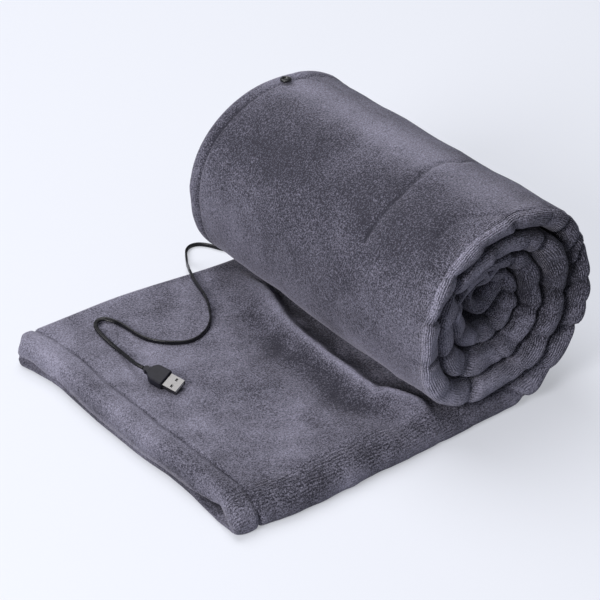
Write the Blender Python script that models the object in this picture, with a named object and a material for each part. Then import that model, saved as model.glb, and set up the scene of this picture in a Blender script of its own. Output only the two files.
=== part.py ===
"""Rolled electric throw blanket with its low-voltage lead, as solids in metres, +Z up.

The blanket is one panel of double-faced plush, folded lengthwise in three and rolled up from one
short end. A flap of it still lies flat. X runs from the flap to the roll, Y along the roll's axis.
The lead leaves the hem behind the roll, is put away in a small tied coil there, and its last
stretch lies over the flap, with the plug on top.
"""

import math

import bmesh
import bpy
import numpy as np
from mathutils import Matrix, Vector

CLEARANCE = 0.0003  # between pieces that touch

# Blanket. Lengths along X are counted from the flap's free hem and moved to the origin at the end.
PLY = 0.0064  # one thickness of the double-faced plush
PLY_GAP = 0.0008  # between folded thicknesses
STACK = 3 * PLY + 2 * PLY_GAP
TURN_GAP = 0.0012  # between turns of the roll
PITCH = STACK + TURN_GAP
ROLL_HEIGHT = 0.162
ROLL_SPREAD = (1.09, 1.065)  # how much wider than round the roll sags, towards the flap and away from it
ROLL_CENTRE = 0.2386
NEAR_SWELL, FAR_SINK = 0.024, 0.010  # share by which the roll stands higher at one end than the other
CORE_BEND = 0.0114  # bend radius of the small fold at the core, at mid thickness
CORE_BEND_STEPS = 8
TONGUE, TONGUE_HEM = 0.005, 0.002  # straight end of the cloth inside the core, and its rounded end
NEAR_EDGE, FAR_EDGE = -0.1405, 0.136  # the cloth's sides at the flap's hem
FLAP_BULGE = 0.0062  # how much further the near side reaches along the flap
FLAP_BULGE_REACH = 0.06  # from the hem to where that bulge is full
DRAWN_IN = 0.012  # how much the far side is drawn in by the roll
DRAWN_IN_START, DRAWN_IN_REACH = 0.07, 0.13  # from the hem to where that begins, and how long it takes
FAR_FULLNESS = 0.002  # how much the far side stands out before it is drawn in
ONTO_ROLL_START, ONTO_ROLL_REACH = 0.14, 0.08  # where the flap's near side turns into the roll's
CORNER_REACH = 0.014  # how far along the hem's corners are rounded
NEAR_CORNER, FAR_CORNER = -0.002, 0.006  # how much the cloth's sides stand back at the hem
NEAR_BULGE, FAR_BULGE = 0.0045, 0.0035  # how much further the roll's ends reach
ROUNDNESS = (2.08, 2.30, 1.95, 3.0)  # of each quarter from the bottom rightwards; 2 is round
FOLD_ROUNDNESS = 3.0  # of the near fold's lower half
HEM_WAVE = (  # along the axis from the middle, and how far the flap's hem edge strays from straight there
    (-0.140, -0.0005), (-0.112, 0.002), (-0.084, 0.0048), (-0.056, 0.0070), (-0.028, 0.0055),
    (0.0, 0.0030), (0.028, 0.0010), (0.056, 0.0), (0.084, -0.0006), (0.112, -0.0036), (0.137, -0.0078),
)
HEM_WAVE_REACH = 0.06  # where along the flap the wave has died out
HEM_EDGE = 0.55  # a ply's thickness at its rounded hem edge, as a share of its full one
FLAP_STATIONS = (0.0, 0.003, 0.018, 0.03, 0.055, 0.08, 0.105, 0.13, 0.155, 0.175, 0.195, 0.215)
STEPS_PER_TURN = 28
SPIRAL_STEPS = 73  # 2.6 turns
PLY_POINTS, NEAR_FOLD_POINTS, FAR_FOLD_POINTS, INNER_PLY_POINTS = 8, 6, 4, 4
INNER_EDGE = 0.004  # how far the enclosed ply's free edge lies from the near fold's centre
ORIGIN = (0.1592, -0.0037)  # middle of the blanket's bounds, moved to x = 0 and y = 0

# Press stud on the far hem, near the roll's top
STUD_STEP = 13.5  # in spiral steps from the roll's bottom, so midway along a facet
STUD_FROM_HEM = 0.0135
STUD_PROFILE = (  # radius, height
    (0.0046, 0.0), (0.0046, 0.0008), (0.0042, 0.0014), (0.0034, 0.0019),
    (0.0026, 0.0017), (0.0021, 0.0009), (0.0012, 0.0007),
)

# Lead
CORD = 0.0034  # width of the flat lead, and of the round tube that stands for it
COIL_CENTRE = (0.1028, 0.1858)
COIL_RADIUS = 0.0187  # at the middle of its turns
COIL_COLUMNS, COIL_LAYERS = 3, 2
COIL_TURNS = COIL_COLUMNS * COIL_LAYERS
COIL_WIDTH, COIL_HEIGHT = COIL_COLUMNS * CORD, COIL_LAYERS * CORD
COIL_BASE = 0.0009  # the coil lies on its tie
COIL_OUTER_TURN = COIL_RADIUS + (COIL_COLUMNS - 1) / 2 * CORD
COIL_STEPS = 40
TIE_WIDTH, TIE_THICKNESS = 0.005, 0.0006
RELIEF_LENGTH, RELIEF_RADII = 0.014, (0.0028, 0.0021)
RELIEF_COLLAR, RELIEF_RIBS = 0.0020, 4  # plain length at the hem, and the ribs after it
GROOVE_DEPTH, GROOVE_EDGE, GROOVE_WIDTH = 0.0003, 0.0003, 0.0010
CORD_STEP = 0.0090  # between a tube's points where it runs straight
BEND_POINTS = 2.2  # further points for each radian it bends
FINE_STEPS = 800  # at which a route's bend is measured
LIE = CORD / 2 + 0.0004  # height of the lead's middle over the floor
ON_FLAP = STACK + CLEARANCE + CORD / 2

# Plug, in its own frame: +X towards the contacts, +Y across, +Z through its thickness
PLUG_CENTRE = (-0.1131, 0.0212, 0.0281)  # middle of the moulded body
PLUG_YAW, PLUG_PITCH, PLUG_ROLL = (math.radians(a) for a in (-70.3, 9.2, 17.0))
BODY_LENGTH, BODY_WIDTH, BODY_THICKNESS = 0.0152, 0.0148, 0.0076
BODY_TAIL_WIDTH, SHOULDER_LENGTH = 0.0072, 0.0052
SHOULDER_KNEE = (0.45, 0.86)  # share of the shoulder's length, and of the body's width, at its knee
BODY_EDGE = 0.0011  # rounding of the body's edges
SHELL_LENGTH, SHELL_WIDTH, SHELL_THICKNESS, SHELL_WALL = 0.01175, 0.0120, 0.0045, 0.0004
WINDOW_LENGTH, WINDOW_WIDTH = 0.0020, 0.0025
WINDOW_SPACING, WINDOW_FROM_BODY = 0.0064, 0.0056
TONGUE_WIDTH, TONGUE_THICKNESS, TONGUE_BACK = 0.0106, 0.0018, 0.0006
PLUG_RELIEF_THICKNESS = 0.0046
PLUG_RELIEF_OUTLINE = (  # distance behind the body, and half width, for one rib between two necks
    (0.0, 0.0027), (0.0014, 0.0027), (0.0014, 0.0020), (0.0022, 0.0020),
    (0.0022, 0.0025), (0.0036, 0.0024), (0.0036, 0.0020), (0.0046, 0.0018),
)

# The lead's routes, in metres from the origin, from the hem to the coil and on to the plug
LEAD_ROUTE = (
    (0.0804, 0.1581, 0.0032),
    (0.0804, 0.1640, 0.0023),
    (0.0804, 0.1731, LIE),
)
RUN_ROUTE = (
    (0.0901, 0.1634, 0.0062),
    (0.0800, 0.1630, 0.0062),
    (0.0702, 0.1608, 0.0044),
    (0.0612, 0.1600, 0.0023),
    (0.0545, 0.1625, LIE),
    (0.0500, 0.1685, LIE),
    (0.0468, 0.1752, LIE),
    (0.0430, 0.1812, LIE),
    (0.0388, 0.1850, LIE),
    (0.0327, 0.1862, LIE),
    (0.0273, 0.1836, LIE),
    (0.0222, 0.1773, LIE),
    (0.0170, 0.1690, LIE),
    (0.0112, 0.1600, 0.0056),
    (0.0047, 0.1494, 0.0118),
    (-0.0028, 0.1376, 0.0184),
    (-0.0084, 0.1276, 0.0228),
    (-0.0120, 0.1186, ON_FLAP + 0.0002),
    (-0.0147, 0.1092, ON_FLAP),
    (-0.0199, 0.0913, ON_FLAP),
    (-0.0238, 0.0823, ON_FLAP),
    (-0.0294, 0.0724, ON_FLAP),
    (-0.0350, 0.0643, ON_FLAP),
    (-0.0427, 0.0569, ON_FLAP),
    (-0.0494, 0.0529, ON_FLAP),
    (-0.0583, 0.0500, ON_FLAP),
    (-0.0647, 0.0503, ON_FLAP),
    (-0.0740, 0.0552, ON_FLAP),
    (-0.0808, 0.0613, ON_FLAP),
    (-0.0879, 0.0718, ON_FLAP),
    (-0.0910, 0.0857, ON_FLAP),
    (-0.0925, 0.1010, ON_FLAP),
    (-0.0956, 0.1105, ON_FLAP),
    (-0.1002, 0.1158, ON_FLAP),
    (-0.1062, 0.1142, ON_FLAP),
    (-0.1099, 0.1082, ON_FLAP),
    (-0.1121, 0.0962, ON_FLAP),
    (-0.1130, 0.0838, ON_FLAP),
    (-0.1135, 0.0750, 0.0232),
    (-0.1146, 0.0640, 0.0246),
    (-0.1164, 0.0534, 0.0268),
    (-0.1181, 0.0440, 0.0290),
    (-0.1186, 0.0375, 0.0305),
    (-0.1174, 0.0333, 0.0302),
)

# Colours, as linear red, green and blue, with roughness and metallic
PLUSH = ((0.118, 0.116, 0.141), 0.95, 0.0)
MOULDED_BLACK = ((0.022, 0.022, 0.026), 0.45, 0.0)
CORD_BLACK = ((0.012, 0.012, 0.014), 0.35, 0.0)
STUD_BLACK = ((0.016, 0.016, 0.018), 0.4, 0.0)
PLATED = ((0.62, 0.61, 0.60), 0.32, 1.0)
TONGUE_WHITE = ((0.75, 0.75, 0.74), 0.5, 0.0)


def clear_scene():
    for obj in list(bpy.data.objects):
        bpy.data.objects.remove(obj, do_unlink=True)


def finish(obj, name, look):
    """Names an object and gives it its own material."""
    colour, roughness, metallic = look
    obj.name = name
    material = bpy.data.materials.new(name)
    material.use_nodes = True
    shader = material.node_tree.nodes["Principled BSDF"]
    shader.inputs["Base Color"].default_value = (*colour, 1.0)
    shader.inputs["Roughness"].default_value = roughness
    shader.inputs["Metallic"].default_value = metallic
    obj.data.materials.clear()
    obj.data.materials.append(material)
    return obj


def new_object(mesh, smooth_below=None):
    """An object of a mesh, shaded smooth across edges under that many degrees."""
    obj = bpy.data.objects.new(mesh.name, mesh)
    bpy.context.scene.collection.objects.link(obj)
    if smooth_below is not None:
        mesh.shade_smooth()
        mesh.set_sharp_from_angle(angle=math.radians(smooth_below))
    return obj


def mesh_from(name, build):
    """A mesh that build() fills through bmesh."""
    shape = bmesh.new()
    build(shape)
    bmesh.ops.recalc_face_normals(shape, faces=shape.faces)
    mesh = bpy.data.meshes.new(name)
    shape.to_mesh(mesh)
    shape.free()
    return mesh


def lofted(rows):
    """A builder of a closed body through equal rows of points, capped at both ends."""

    def build(shape):
        loops = [[shape.verts.new(point) for point in row] for row in rows]
        count = len(loops[0])
        for low, high in zip(loops, loops[1:]):
            for i in range(count):
                j = (i + 1) % count
                shape.faces.new((low[i], low[j], high[j], high[i]))
        shape.faces.new(loops[0])
        shape.faces.new(loops[-1])

    return build


# ---------------------------------------------------------------- blanket


def blend(t):
    """0 below t = 0, 1 above t = 1, and an S between."""
    t = np.clip(t, 0.0, 1.0)
    return t * t * (3 - 2 * t)


def spiral_start():
    """Angle at which the spiral's mid-thickness line runs level, and its distance from the axis."""
    outer = (ROLL_HEIGHT + PITCH / 2) / 2 - STACK / 2
    angle = -math.atan(PITCH / math.tau / outer)
    return angle, outer


def cloth_path():
    """Mid-thickness line of the folded cloth in the plane of a round roll, centred on its axis.

    It gives points, unit normals towards the inside of the turns, and a mask of the flat flap. The flap
    is level, the spiral loses one pitch a turn, and a tight half turn leads into a short straight tongue.
    """
    start, outer = spiral_start()
    turned = math.tau / STEPS_PER_TURN
    angles = np.concatenate([[start], turned * np.arange(1, SPIRAL_STEPS + 1)])
    radii = outer - PITCH * angles / math.tau
    spiral = np.stack([radii * np.sin(angles), -radii * np.cos(angles)], axis=1)
    slope = -PITCH / math.tau
    headings = np.stack(
        [slope * np.sin(angles) + radii * np.cos(angles), radii * np.sin(angles) - slope * np.cos(angles)],
        axis=1,
    )
    headings /= np.linalg.norm(headings, axis=1, keepdims=True)
    normals = np.stack([-headings[:, 1], headings[:, 0]], axis=1)

    flap_x = np.array(FLAP_STATIONS)
    flap = np.stack([(flap_x - ROLL_CENTRE) / ROLL_SPREAD[0], np.full(len(flap_x), spiral[0, 1])], axis=1)
    flap_normals = np.tile([0.0, 1.0], (len(flap), 1))

    bend = math.pi / CORE_BEND_STEPS * np.arange(1, CORE_BEND_STEPS + 1)
    middle = spiral[-1] + normals[-1] * CORE_BEND
    out, along = -normals[-1], headings[-1]
    spokes = np.outer(np.cos(bend), out) + np.outer(np.sin(bend), along)
    fold = middle + CORE_BEND * spokes
    straight = np.array([TONGUE - TONGUE_HEM, TONGUE])
    tongue = fold[-1] - np.outer(straight, along)
    tongue_normals = np.tile(-spokes[-1], (len(straight), 1))

    points = np.concatenate([flap, spiral, fold, tongue])
    all_normals = np.concatenate([flap_normals, normals, -spokes, tongue_normals])
    is_flap = np.arange(len(points)) < len(flap)
    return points, all_normals, is_flap


def ribbon(near, far, share):
    """Outline of the cloth folded in three, as (along Y, up through the stack) pairs.

    Its mid line runs along the bottom ply from the far hem, round the near fold, back along the top
    ply, round the small far fold and along the enclosed middle ply to its free edge. The share is of
    a ply's full thickness.
    """
    half = PLY / 2
    lower, middle, upper = half, STACK / 2, STACK - half
    big, small = (upper - lower) / 2, (upper - middle) / 2
    near_centre, far_centre = near + STACK / 2, far - half - small
    line, normal = [], []

    def ply(start, end, height, up, count):
        for y in np.linspace(start, end, count):
            line.append((y, height))
            normal.append((0.0, up))

    def fold(centre, height, radius, start, end, count, n=2.0):
        for angle in np.radians(np.linspace(start, end, count + 2)[1:-1]):
            out = np.array([math.cos(angle), math.sin(angle)])
            out *= np.sum(np.abs(out) ** (n if out[1] < 0 else 2.0)) ** (-1 / (n if out[1] < 0 else 2.0))
            line.append((centre + radius * out[0], height + radius * out[1]))
            normal.append(tuple(out))

    ply(far - half, near_centre, lower, -1.0, PLY_POINTS)
    fold(near_centre, middle, big, 270.0, 90.0, NEAR_FOLD_POINTS, FOLD_ROUNDNESS)
    ply(near_centre, far_centre, upper, 1.0, PLY_POINTS)
    fold(far_centre, (upper + middle) / 2, small, 90.0, -90.0, FAR_FOLD_POINTS)
    ply(far_centre, near_centre + INNER_EDGE, middle, -1.0, INNER_PLY_POINTS)
    line, normal = np.array(line), np.array(normal)
    offset = normal * half * share
    ends = np.array([[line[0, 0] + half, lower], [line[-1, 0] - half, middle]])
    return np.concatenate([line + offset, ends[1:], (line - offset)[::-1], ends[:1]])


def sagged(u, w):
    """Radial factor that squares the round roll's quarters: r(angle) of a superellipse, 1 on its axes."""
    angle = np.arctan2(u, -w) % math.tau
    quarter = (angle // (math.pi / 2)).astype(int) % 4
    n = np.array(ROUNDNESS)[quarter]
    return (np.abs(np.sin(angle)) ** n + np.abs(np.cos(angle)) ** n) ** (-1 / n)


def edges_along(points, is_flap):
    """The cloth's near and far edges at each station: drawn in at the hem's corners and by the roll."""
    x = ROLL_CENTRE + ROLL_SPREAD[0] * points[:, 0]
    on_roll = np.where(is_flap, blend((x - ONTO_ROLL_START) / ONTO_ROLL_REACH), 1.0)
    corner = np.where(is_flap, 1 - blend(x / CORNER_REACH), 0.0)
    drawn_in = DRAWN_IN * blend((x - DRAWN_IN_START) / DRAWN_IN_REACH) - FAR_FULLNESS
    bulge = FLAP_BULGE * blend(x / FLAP_BULGE_REACH) * (1 - on_roll) + NEAR_BULGE * on_roll
    near = NEAR_EDGE - bulge + NEAR_CORNER * corner
    far = FAR_EDGE - FAR_CORNER * corner + np.where(is_flap, -drawn_in, FAR_BULGE)
    return near, far


def blanket_rows():
    """The blanket's stations from the flap's hem to the core, as points in metres from the origin."""
    points, normals, is_flap = cloth_path()
    near, far = edges_along(points, is_flap)
    last = len(points) - 1
    shares = np.where((np.arange(len(points)) % last) == 0, HEM_EDGE, 1.0)
    rise = STACK / 2 - points[0, 1]
    rows = []
    for centre, normal, is_flat, low, high, share in zip(points, normals, is_flap, near, far, shares):
        outline = ribbon(low, high, share)
        u, w = (centre + np.outer(outline[:, 1] - STACK / 2, normal)).T
        factor = 1.0 if is_flat else sagged(u, w)
        x = ROLL_CENTRE + np.where(u < 0, *ROLL_SPREAD) * u * factor
        y, z = outline[:, 0], np.maximum(rise + w * factor, 0.0)
        along, stray = np.array(HEM_WAVE).T
        x = x + np.interp(y, along, stray) * (1 - blend(x / HEM_WAVE_REACH))
        swell = np.interp(y, (NEAR_EDGE, FAR_EDGE), (NEAR_SWELL, -FAR_SINK))
        z = z * (1 + (0.0 if is_flat else 1.0) * swell * z / ROLL_HEIGHT)
        rows.append(np.stack([x - ORIGIN[0], y - ORIGIN[1], z], axis=1))
    return rows


def build_blanket():
    mesh = mesh_from("blanket", lofted(blanket_rows()))
    return finish(new_object(mesh, smooth_below=50), "blanket", PLUSH)


# ---------------------------------------------------------------- press stud and strain relief


def turned(profile, steps):
    """A builder of a solid turned round Z from (radius, height) pairs, closed on the axis at both ends."""

    def build(shape):
        angles = [math.tau * i / steps for i in range(steps)]
        loops = [
            [shape.verts.new((r * math.cos(a), r * math.sin(a), z)) for a in angles] for r, z in profile
        ]
        for low, high in zip(loops, loops[1:]):
            for i in range(steps):
                j = (i + 1) % steps
                shape.faces.new((low[i], low[j], high[j], high[i]))
        shape.faces.new(loops[0])
        shape.faces.new(loops[-1])

    return build


def hem_seat(y):
    """Place and upward normal on the roll's outer face, near its far hem, for the stud."""
    first = int(cloth_path()[2].sum()) + int(STUD_STEP)
    hems = [[Vector(point) for point in row[:2]] for row in blanket_rows()[first : first + 2]]
    share = (y - hems[0][0].y) / (hems[0][1].y - hems[0][0].y)
    before, after = (hem.lerp(inner, share) for hem, inner in hems)
    up = (hems[0][0] - hems[0][1]).cross(after - before).normalized()
    return (before + after) / 2, up if up.z > 0 else -up


def build_press_stud():
    place, up = hem_seat(FAR_EDGE + FAR_BULGE - ORIGIN[1] - STUD_FROM_HEM)
    obj = new_object(mesh_from("press_stud", turned(STUD_PROFILE, 24)), smooth_below=40)
    turn = up.to_track_quat("Z", "Y").to_matrix().to_4x4()
    obj.matrix_world = Matrix.Translation(place + up * CLEARANCE) @ turn
    return finish(obj, "press_stud", STUD_BLACK)


def build_lead_relief():
    """A tapered, ribbed sleeve from the hem, along +Y."""
    wide, slim = RELIEF_RADII
    pitch = (RELIEF_LENGTH - RELIEF_COLLAR) / RELIEF_RIBS
    profile = [(wide, 0.0), (wide, RELIEF_COLLAR)]
    for i in range(RELIEF_RIBS):
        start = RELIEF_COLLAR + i * pitch
        radius = wide + (slim - wide) * (i + 1) / RELIEF_RIBS
        neck = radius - GROOVE_DEPTH
        profile += [(neck, start + GROOVE_EDGE), (neck, start + GROOVE_WIDTH)]
        profile += [(radius, start + GROOVE_WIDTH + GROOVE_EDGE), (radius, start + pitch)]
    obj = new_object(mesh_from("lead_relief", turned(profile, 16)), smooth_below=40)
    hem = FAR_EDGE + FAR_BULGE - ORIGIN[1]
    seat = Vector((LEAD_ROUTE[0][0], hem + CLEARANCE, LEAD_ROUTE[0][2]))
    obj.matrix_world = Matrix.Translation(seat) @ Matrix.Rotation(-math.pi / 2, 4, "X")
    return finish(obj, "lead_relief", MOULDED_BLACK)


# ---------------------------------------------------------------- lead


def natural_curve(route):
    """Function of length along the chords that gives the natural cubic curve through a route's points."""
    knots = np.array(route, float)
    lengths = np.concatenate([[0.0], np.cumsum(np.linalg.norm(np.diff(knots, axis=0), axis=1))])
    gaps = np.diff(lengths)
    count = len(knots)
    system, right = np.eye(count), np.zeros((count, 3))
    for i in range(1, count - 1):
        system[i, i - 1 : i + 2] = gaps[i - 1], 2 * (gaps[i - 1] + gaps[i]), gaps[i]
        right[i] = 6 * ((knots[i + 1] - knots[i]) / gaps[i] - (knots[i] - knots[i - 1]) / gaps[i - 1])
    bends = np.linalg.solve(system, right)

    def curve(at):
        k = np.clip(np.searchsorted(lengths, at, side="right") - 1, 0, count - 2)
        before, after, gap = (at - lengths[k])[:, None], (lengths[k + 1] - at)[:, None], gaps[k][:, None]
        return (
            (bends[k] * after**3 + bends[k + 1] * before**3) / (6 * gap)
            + (knots[k] / gap - bends[k] * gap / 6) * after
            + (knots[k + 1] / gap - bends[k + 1] * gap / 6) * before
        )

    return curve, lengths[-1]


def smooth_route(route):
    """Points of the curve through a route, closer together where it bends."""
    curve, length = natural_curve(route)
    fine = np.linspace(0.0, length, FINE_STEPS)
    points = curve(fine)
    chords = np.diff(points, axis=0)
    steps = np.linalg.norm(chords, axis=1)
    headings = chords / steps[:, None]
    turning = np.arccos(np.clip(np.sum(headings[1:] * headings[:-1], axis=1), -1, 1))
    turning = np.concatenate([turning, [0.0]])
    effort = np.concatenate([[0.0], np.cumsum(steps / CORD_STEP + turning * BEND_POINTS)])
    count = max(3, round(effort[-1]) + 1)
    return curve(np.interp(np.linspace(0.0, effort[-1], count), effort, fine))


def build_tube(name, route):
    """A round tube of the lead's width along a route."""
    points = smooth_route(route)
    curve = bpy.data.curves.new(name, "CURVE")
    curve.dimensions = "3D"
    curve.bevel_depth = CORD / 2
    curve.bevel_resolution = 2
    curve.use_fill_caps = True
    spline = curve.splines.new("POLY")
    spline.points.add(len(points) - 1)
    for target, point in zip(spline.points, points):
        target.co = (*point, 1.0)
    obj = bpy.data.objects.new(name, curve)
    bpy.context.scene.collection.objects.link(obj)
    return finish(obj, name, CORD_BLACK)


def ring_builder(section, steps):
    """A builder of a closed ring that carries (radius, height) pairs once round Z."""

    def build(shape):
        angles = [math.tau * i / steps for i in range(steps)]
        loops = [
            [shape.verts.new((r * math.cos(a), r * math.sin(a), z)) for r, z in section] for a in angles
        ]
        count = len(section)
        for i in range(steps):
            low, high = loops[i], loops[(i + 1) % steps]
            for j in range(count):
                k = (j + 1) % count
                shape.faces.new((low[j], low[k], high[k], high[j]))

    return build


def rounded_section(inner, outer, low, high, corner, steps=3):
    """(radius, height) pairs round a rectangle with rounded corners."""
    section = []
    corners = ((outer, low, -90), (outer, high, 0), (inner, high, 90), (inner, low, 180))
    for r, z, start in corners:
        centre_r = r - corner if r == outer else r + corner
        centre_z = z + corner if z == low else z - corner
        for angle in np.radians(np.linspace(start, start + 90, steps + 1)):
            section.append((centre_r + corner * math.cos(angle), centre_z + corner * math.sin(angle)))
    return section


def build_coil():
    inner, outer = COIL_RADIUS - COIL_WIDTH / 2, COIL_RADIUS + COIL_WIDTH / 2
    section = rounded_section(inner, outer, COIL_BASE, COIL_BASE + COIL_HEIGHT, CORD / 2)
    obj = new_object(mesh_from("lead_coil", ring_builder(section, COIL_STEPS)), smooth_below=40)
    obj.location = (*COIL_CENTRE, 0.0)
    return finish(obj, "lead_coil", CORD_BLACK)


def build_tie():
    """A flat band round the coil's turns, on the coil's side away from the lead."""
    half = TIE_WIDTH / 2
    inner, outer = COIL_RADIUS - COIL_WIDTH / 2, COIL_RADIUS + COIL_WIDTH / 2
    hole_in = math.sqrt(inner**2 - half**2) - CLEARANCE
    hole_out = outer + CLEARANCE
    low, high = COIL_BASE - CLEARANCE, COIL_BASE + COIL_HEIGHT + CLEARANCE
    hole = [(hole_in, low), (hole_out, low), (hole_out, high), (hole_in, high)]
    t = TIE_THICKNESS
    near_side, far_side, base, top = hole_in - t, hole_out + t, low - t, high + t
    skin = [(near_side, base), (far_side, base), (far_side, top), (near_side, top)]

    def build(shape):
        inside, outside = (
            [[shape.verts.new((x, y, z)) for x, z in loop] for y in (-half, half)] for loop in (hole, skin)
        )
        for i in range(4):
            j = (i + 1) % 4
            shape.faces.new((inside[0][i], inside[0][j], inside[1][j], inside[1][i]))
            shape.faces.new((outside[0][i], outside[0][j], outside[1][j], outside[1][i]))
            for side in (0, 1):
                shape.faces.new((inside[side][i], inside[side][j], outside[side][j], outside[side][i]))

    obj = new_object(mesh_from("coil_tie", build))
    obj.location = (*COIL_CENTRE, 0.0)
    return finish(obj, "coil_tie", MOULDED_BLACK)


# ---------------------------------------------------------------- plug


def plug_frame():
    """Places the plug's own frame: the moulded body's middle, turned, pitched and rolled."""
    return (
        Matrix.Translation(PLUG_CENTRE)
        @ Matrix.Rotation(PLUG_YAW, 4, "Z")
        @ Matrix.Rotation(PLUG_PITCH, 4, "Y")
        @ Matrix.Rotation(PLUG_ROLL, 4, "X")
    )


def extruded(outline, thickness):
    """A builder of a plate of (x, y) pairs, centred through its thickness."""
    rows = [[(x, y, z) for x, y in outline] for z in (-thickness / 2, thickness / 2)]
    return lofted(rows)


def bevelled(obj, width, segments=2):
    bevel = obj.modifiers.new("edges", "BEVEL")
    bevel.width = width
    bevel.segments = segments
    bevel.limit_method = "ANGLE"
    bevel.angle_limit = math.radians(40)
    return obj


def build_plug_body():
    """Moulded grip with sloping shoulders towards the lead."""
    front, back = BODY_LENGTH / 2, -BODY_LENGTH / 2
    wide, slim = BODY_WIDTH / 2, BODY_TAIL_WIDTH / 2
    knee = (back + SHOULDER_LENGTH * SHOULDER_KNEE[0], -wide * SHOULDER_KNEE[1])
    shoulder = [(back, -slim), knee, (back + SHOULDER_LENGTH, -wide)]
    outline = shoulder + [(front, -wide), (front, wide)] + [(x, -y) for x, y in reversed(shoulder)]
    obj = new_object(mesh_from("plug_body", extruded(outline, BODY_THICKNESS)), smooth_below=35)
    obj.matrix_world = plug_frame()
    bevelled(obj, BODY_EDGE, 3)
    return finish(obj, "plug_body", MOULDED_BLACK)


def build_plug_relief():
    """Short ribbed strain relief behind the grip."""
    start = -BODY_LENGTH / 2 - CLEARANCE
    one_side = [(start - behind, half) for behind, half in PLUG_RELIEF_OUTLINE]
    outline = one_side + [(x, -y) for x, y in reversed(one_side)]
    mesh = mesh_from("plug_relief", extruded(outline, PLUG_RELIEF_THICKNESS))
    obj = new_object(mesh, smooth_below=35)
    obj.matrix_world = plug_frame()
    return finish(obj, "plug_relief", MOULDED_BLACK)


def box_mesh(name, low, high):
    def build(shape):
        bmesh.ops.create_cube(shape, size=1.0)
        middle, size = (Vector(low) + Vector(high)) / 2, Vector(high) - Vector(low)
        for vertex in shape.verts:
            vertex.co = Vector(vertex.co[i] * size[i] + middle[i] for i in range(3))

    return mesh_from(name, build)


def shell_start():
    return BODY_LENGTH / 2 + CLEARANCE


def cut(obj, name, low, high):
    """Cuts a box out of an object, in the plug's frame."""
    cutter = new_object(box_mesh(name, low, high))
    cutter.matrix_world = plug_frame()
    cutter.hide_render = True
    cutter.display_type = "WIRE"
    boolean = obj.modifiers.new(name, "BOOLEAN")
    boolean.operation = "DIFFERENCE"
    boolean.object = cutter


def build_plug_shell():
    """Rectangular metal shell, open at its front, with two windows in its upper face."""
    back, front = shell_start(), shell_start() + SHELL_LENGTH
    wide, thick, wall = SHELL_WIDTH / 2, SHELL_THICKNESS / 2, SHELL_WALL
    obj = new_object(box_mesh("plug_shell", (back, -wide, -thick), (front, wide, thick)))
    obj.matrix_world = plug_frame()
    low = (back + wall, wall - wide, wall - thick)
    cut(obj, "mouth", low, (front + 5 * wall, wide - wall, thick - wall))
    window_back = back + WINDOW_FROM_BODY
    for side in (-1, 1):
        middle = side * WINDOW_SPACING / 2
        low = (window_back, middle - WINDOW_WIDTH / 2, thick - 2 * wall)
        high = (window_back + WINDOW_LENGTH, middle + WINDOW_WIDTH / 2, thick + wall)
        cut(obj, f"window_{side:+d}", low, high)
    return finish(obj, "plug_shell", PLATED)


def build_plug_tongue():
    """Plastic tongue that carries the contacts, on the shell's lower wall."""
    back = shell_start() + SHELL_WALL + CLEARANCE
    front = shell_start() + SHELL_LENGTH - TONGUE_BACK
    low = SHELL_WALL - SHELL_THICKNESS / 2 + CLEARANCE
    mesh = box_mesh(
        "plug_tongue", (back, -TONGUE_WIDTH / 2, low), (front, TONGUE_WIDTH / 2, low + TONGUE_THICKNESS)
    )
    obj = new_object(mesh)
    obj.matrix_world = plug_frame()
    return finish(obj, "plug_tongue", TONGUE_WHITE)


def main():
    clear_scene()
    build_blanket()
    build_press_stud()
    build_lead_relief()
    build_tube("lead_start", LEAD_ROUTE)
    build_coil()
    build_tie()
    build_tube("lead_run", RUN_ROUTE)
    build_plug_relief()
    build_plug_body()
    build_plug_shell()
    build_plug_tongue()


main()
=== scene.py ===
"""Looks of a rolled, heated plush throw with its lead and plug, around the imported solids.

It is laid out as a Blender add-on and run as a script. Lengths are in metres. The cloth's own
coordinates are s, the way along it from its free hem to the core of the roll, v, across it along
the roll's axis, and n, up through the three folded plies from the face that lies on the floor.
"""

import math

import bpy
import numpy as np
from bpy.props import FloatProperty, FloatVectorProperty, PointerProperty
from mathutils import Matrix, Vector
from mathutils.geometry import delaunay_2d_cdt


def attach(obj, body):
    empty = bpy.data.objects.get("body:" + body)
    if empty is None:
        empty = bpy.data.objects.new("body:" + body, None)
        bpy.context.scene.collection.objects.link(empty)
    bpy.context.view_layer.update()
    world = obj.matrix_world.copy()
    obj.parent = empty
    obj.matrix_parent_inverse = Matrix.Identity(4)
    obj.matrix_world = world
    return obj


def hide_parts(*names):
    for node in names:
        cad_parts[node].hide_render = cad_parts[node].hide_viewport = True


bl_info = {
    "name": "Rolled heated throw",
    "version": (1, 0, 0),
    "blender": (4, 5, 0),
    "location": "3D View > Sidebar > Throw",
    "description": "Builds the cloth, lead, plug and studio of a rolled heated throw",
    "category": "Object",
}

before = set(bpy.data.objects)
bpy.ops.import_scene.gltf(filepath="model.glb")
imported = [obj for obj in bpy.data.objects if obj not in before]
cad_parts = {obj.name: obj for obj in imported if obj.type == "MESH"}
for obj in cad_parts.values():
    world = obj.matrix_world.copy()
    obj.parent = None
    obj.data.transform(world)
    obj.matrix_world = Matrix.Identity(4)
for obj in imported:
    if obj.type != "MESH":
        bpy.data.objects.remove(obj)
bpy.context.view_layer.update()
BODY = "root"

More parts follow.
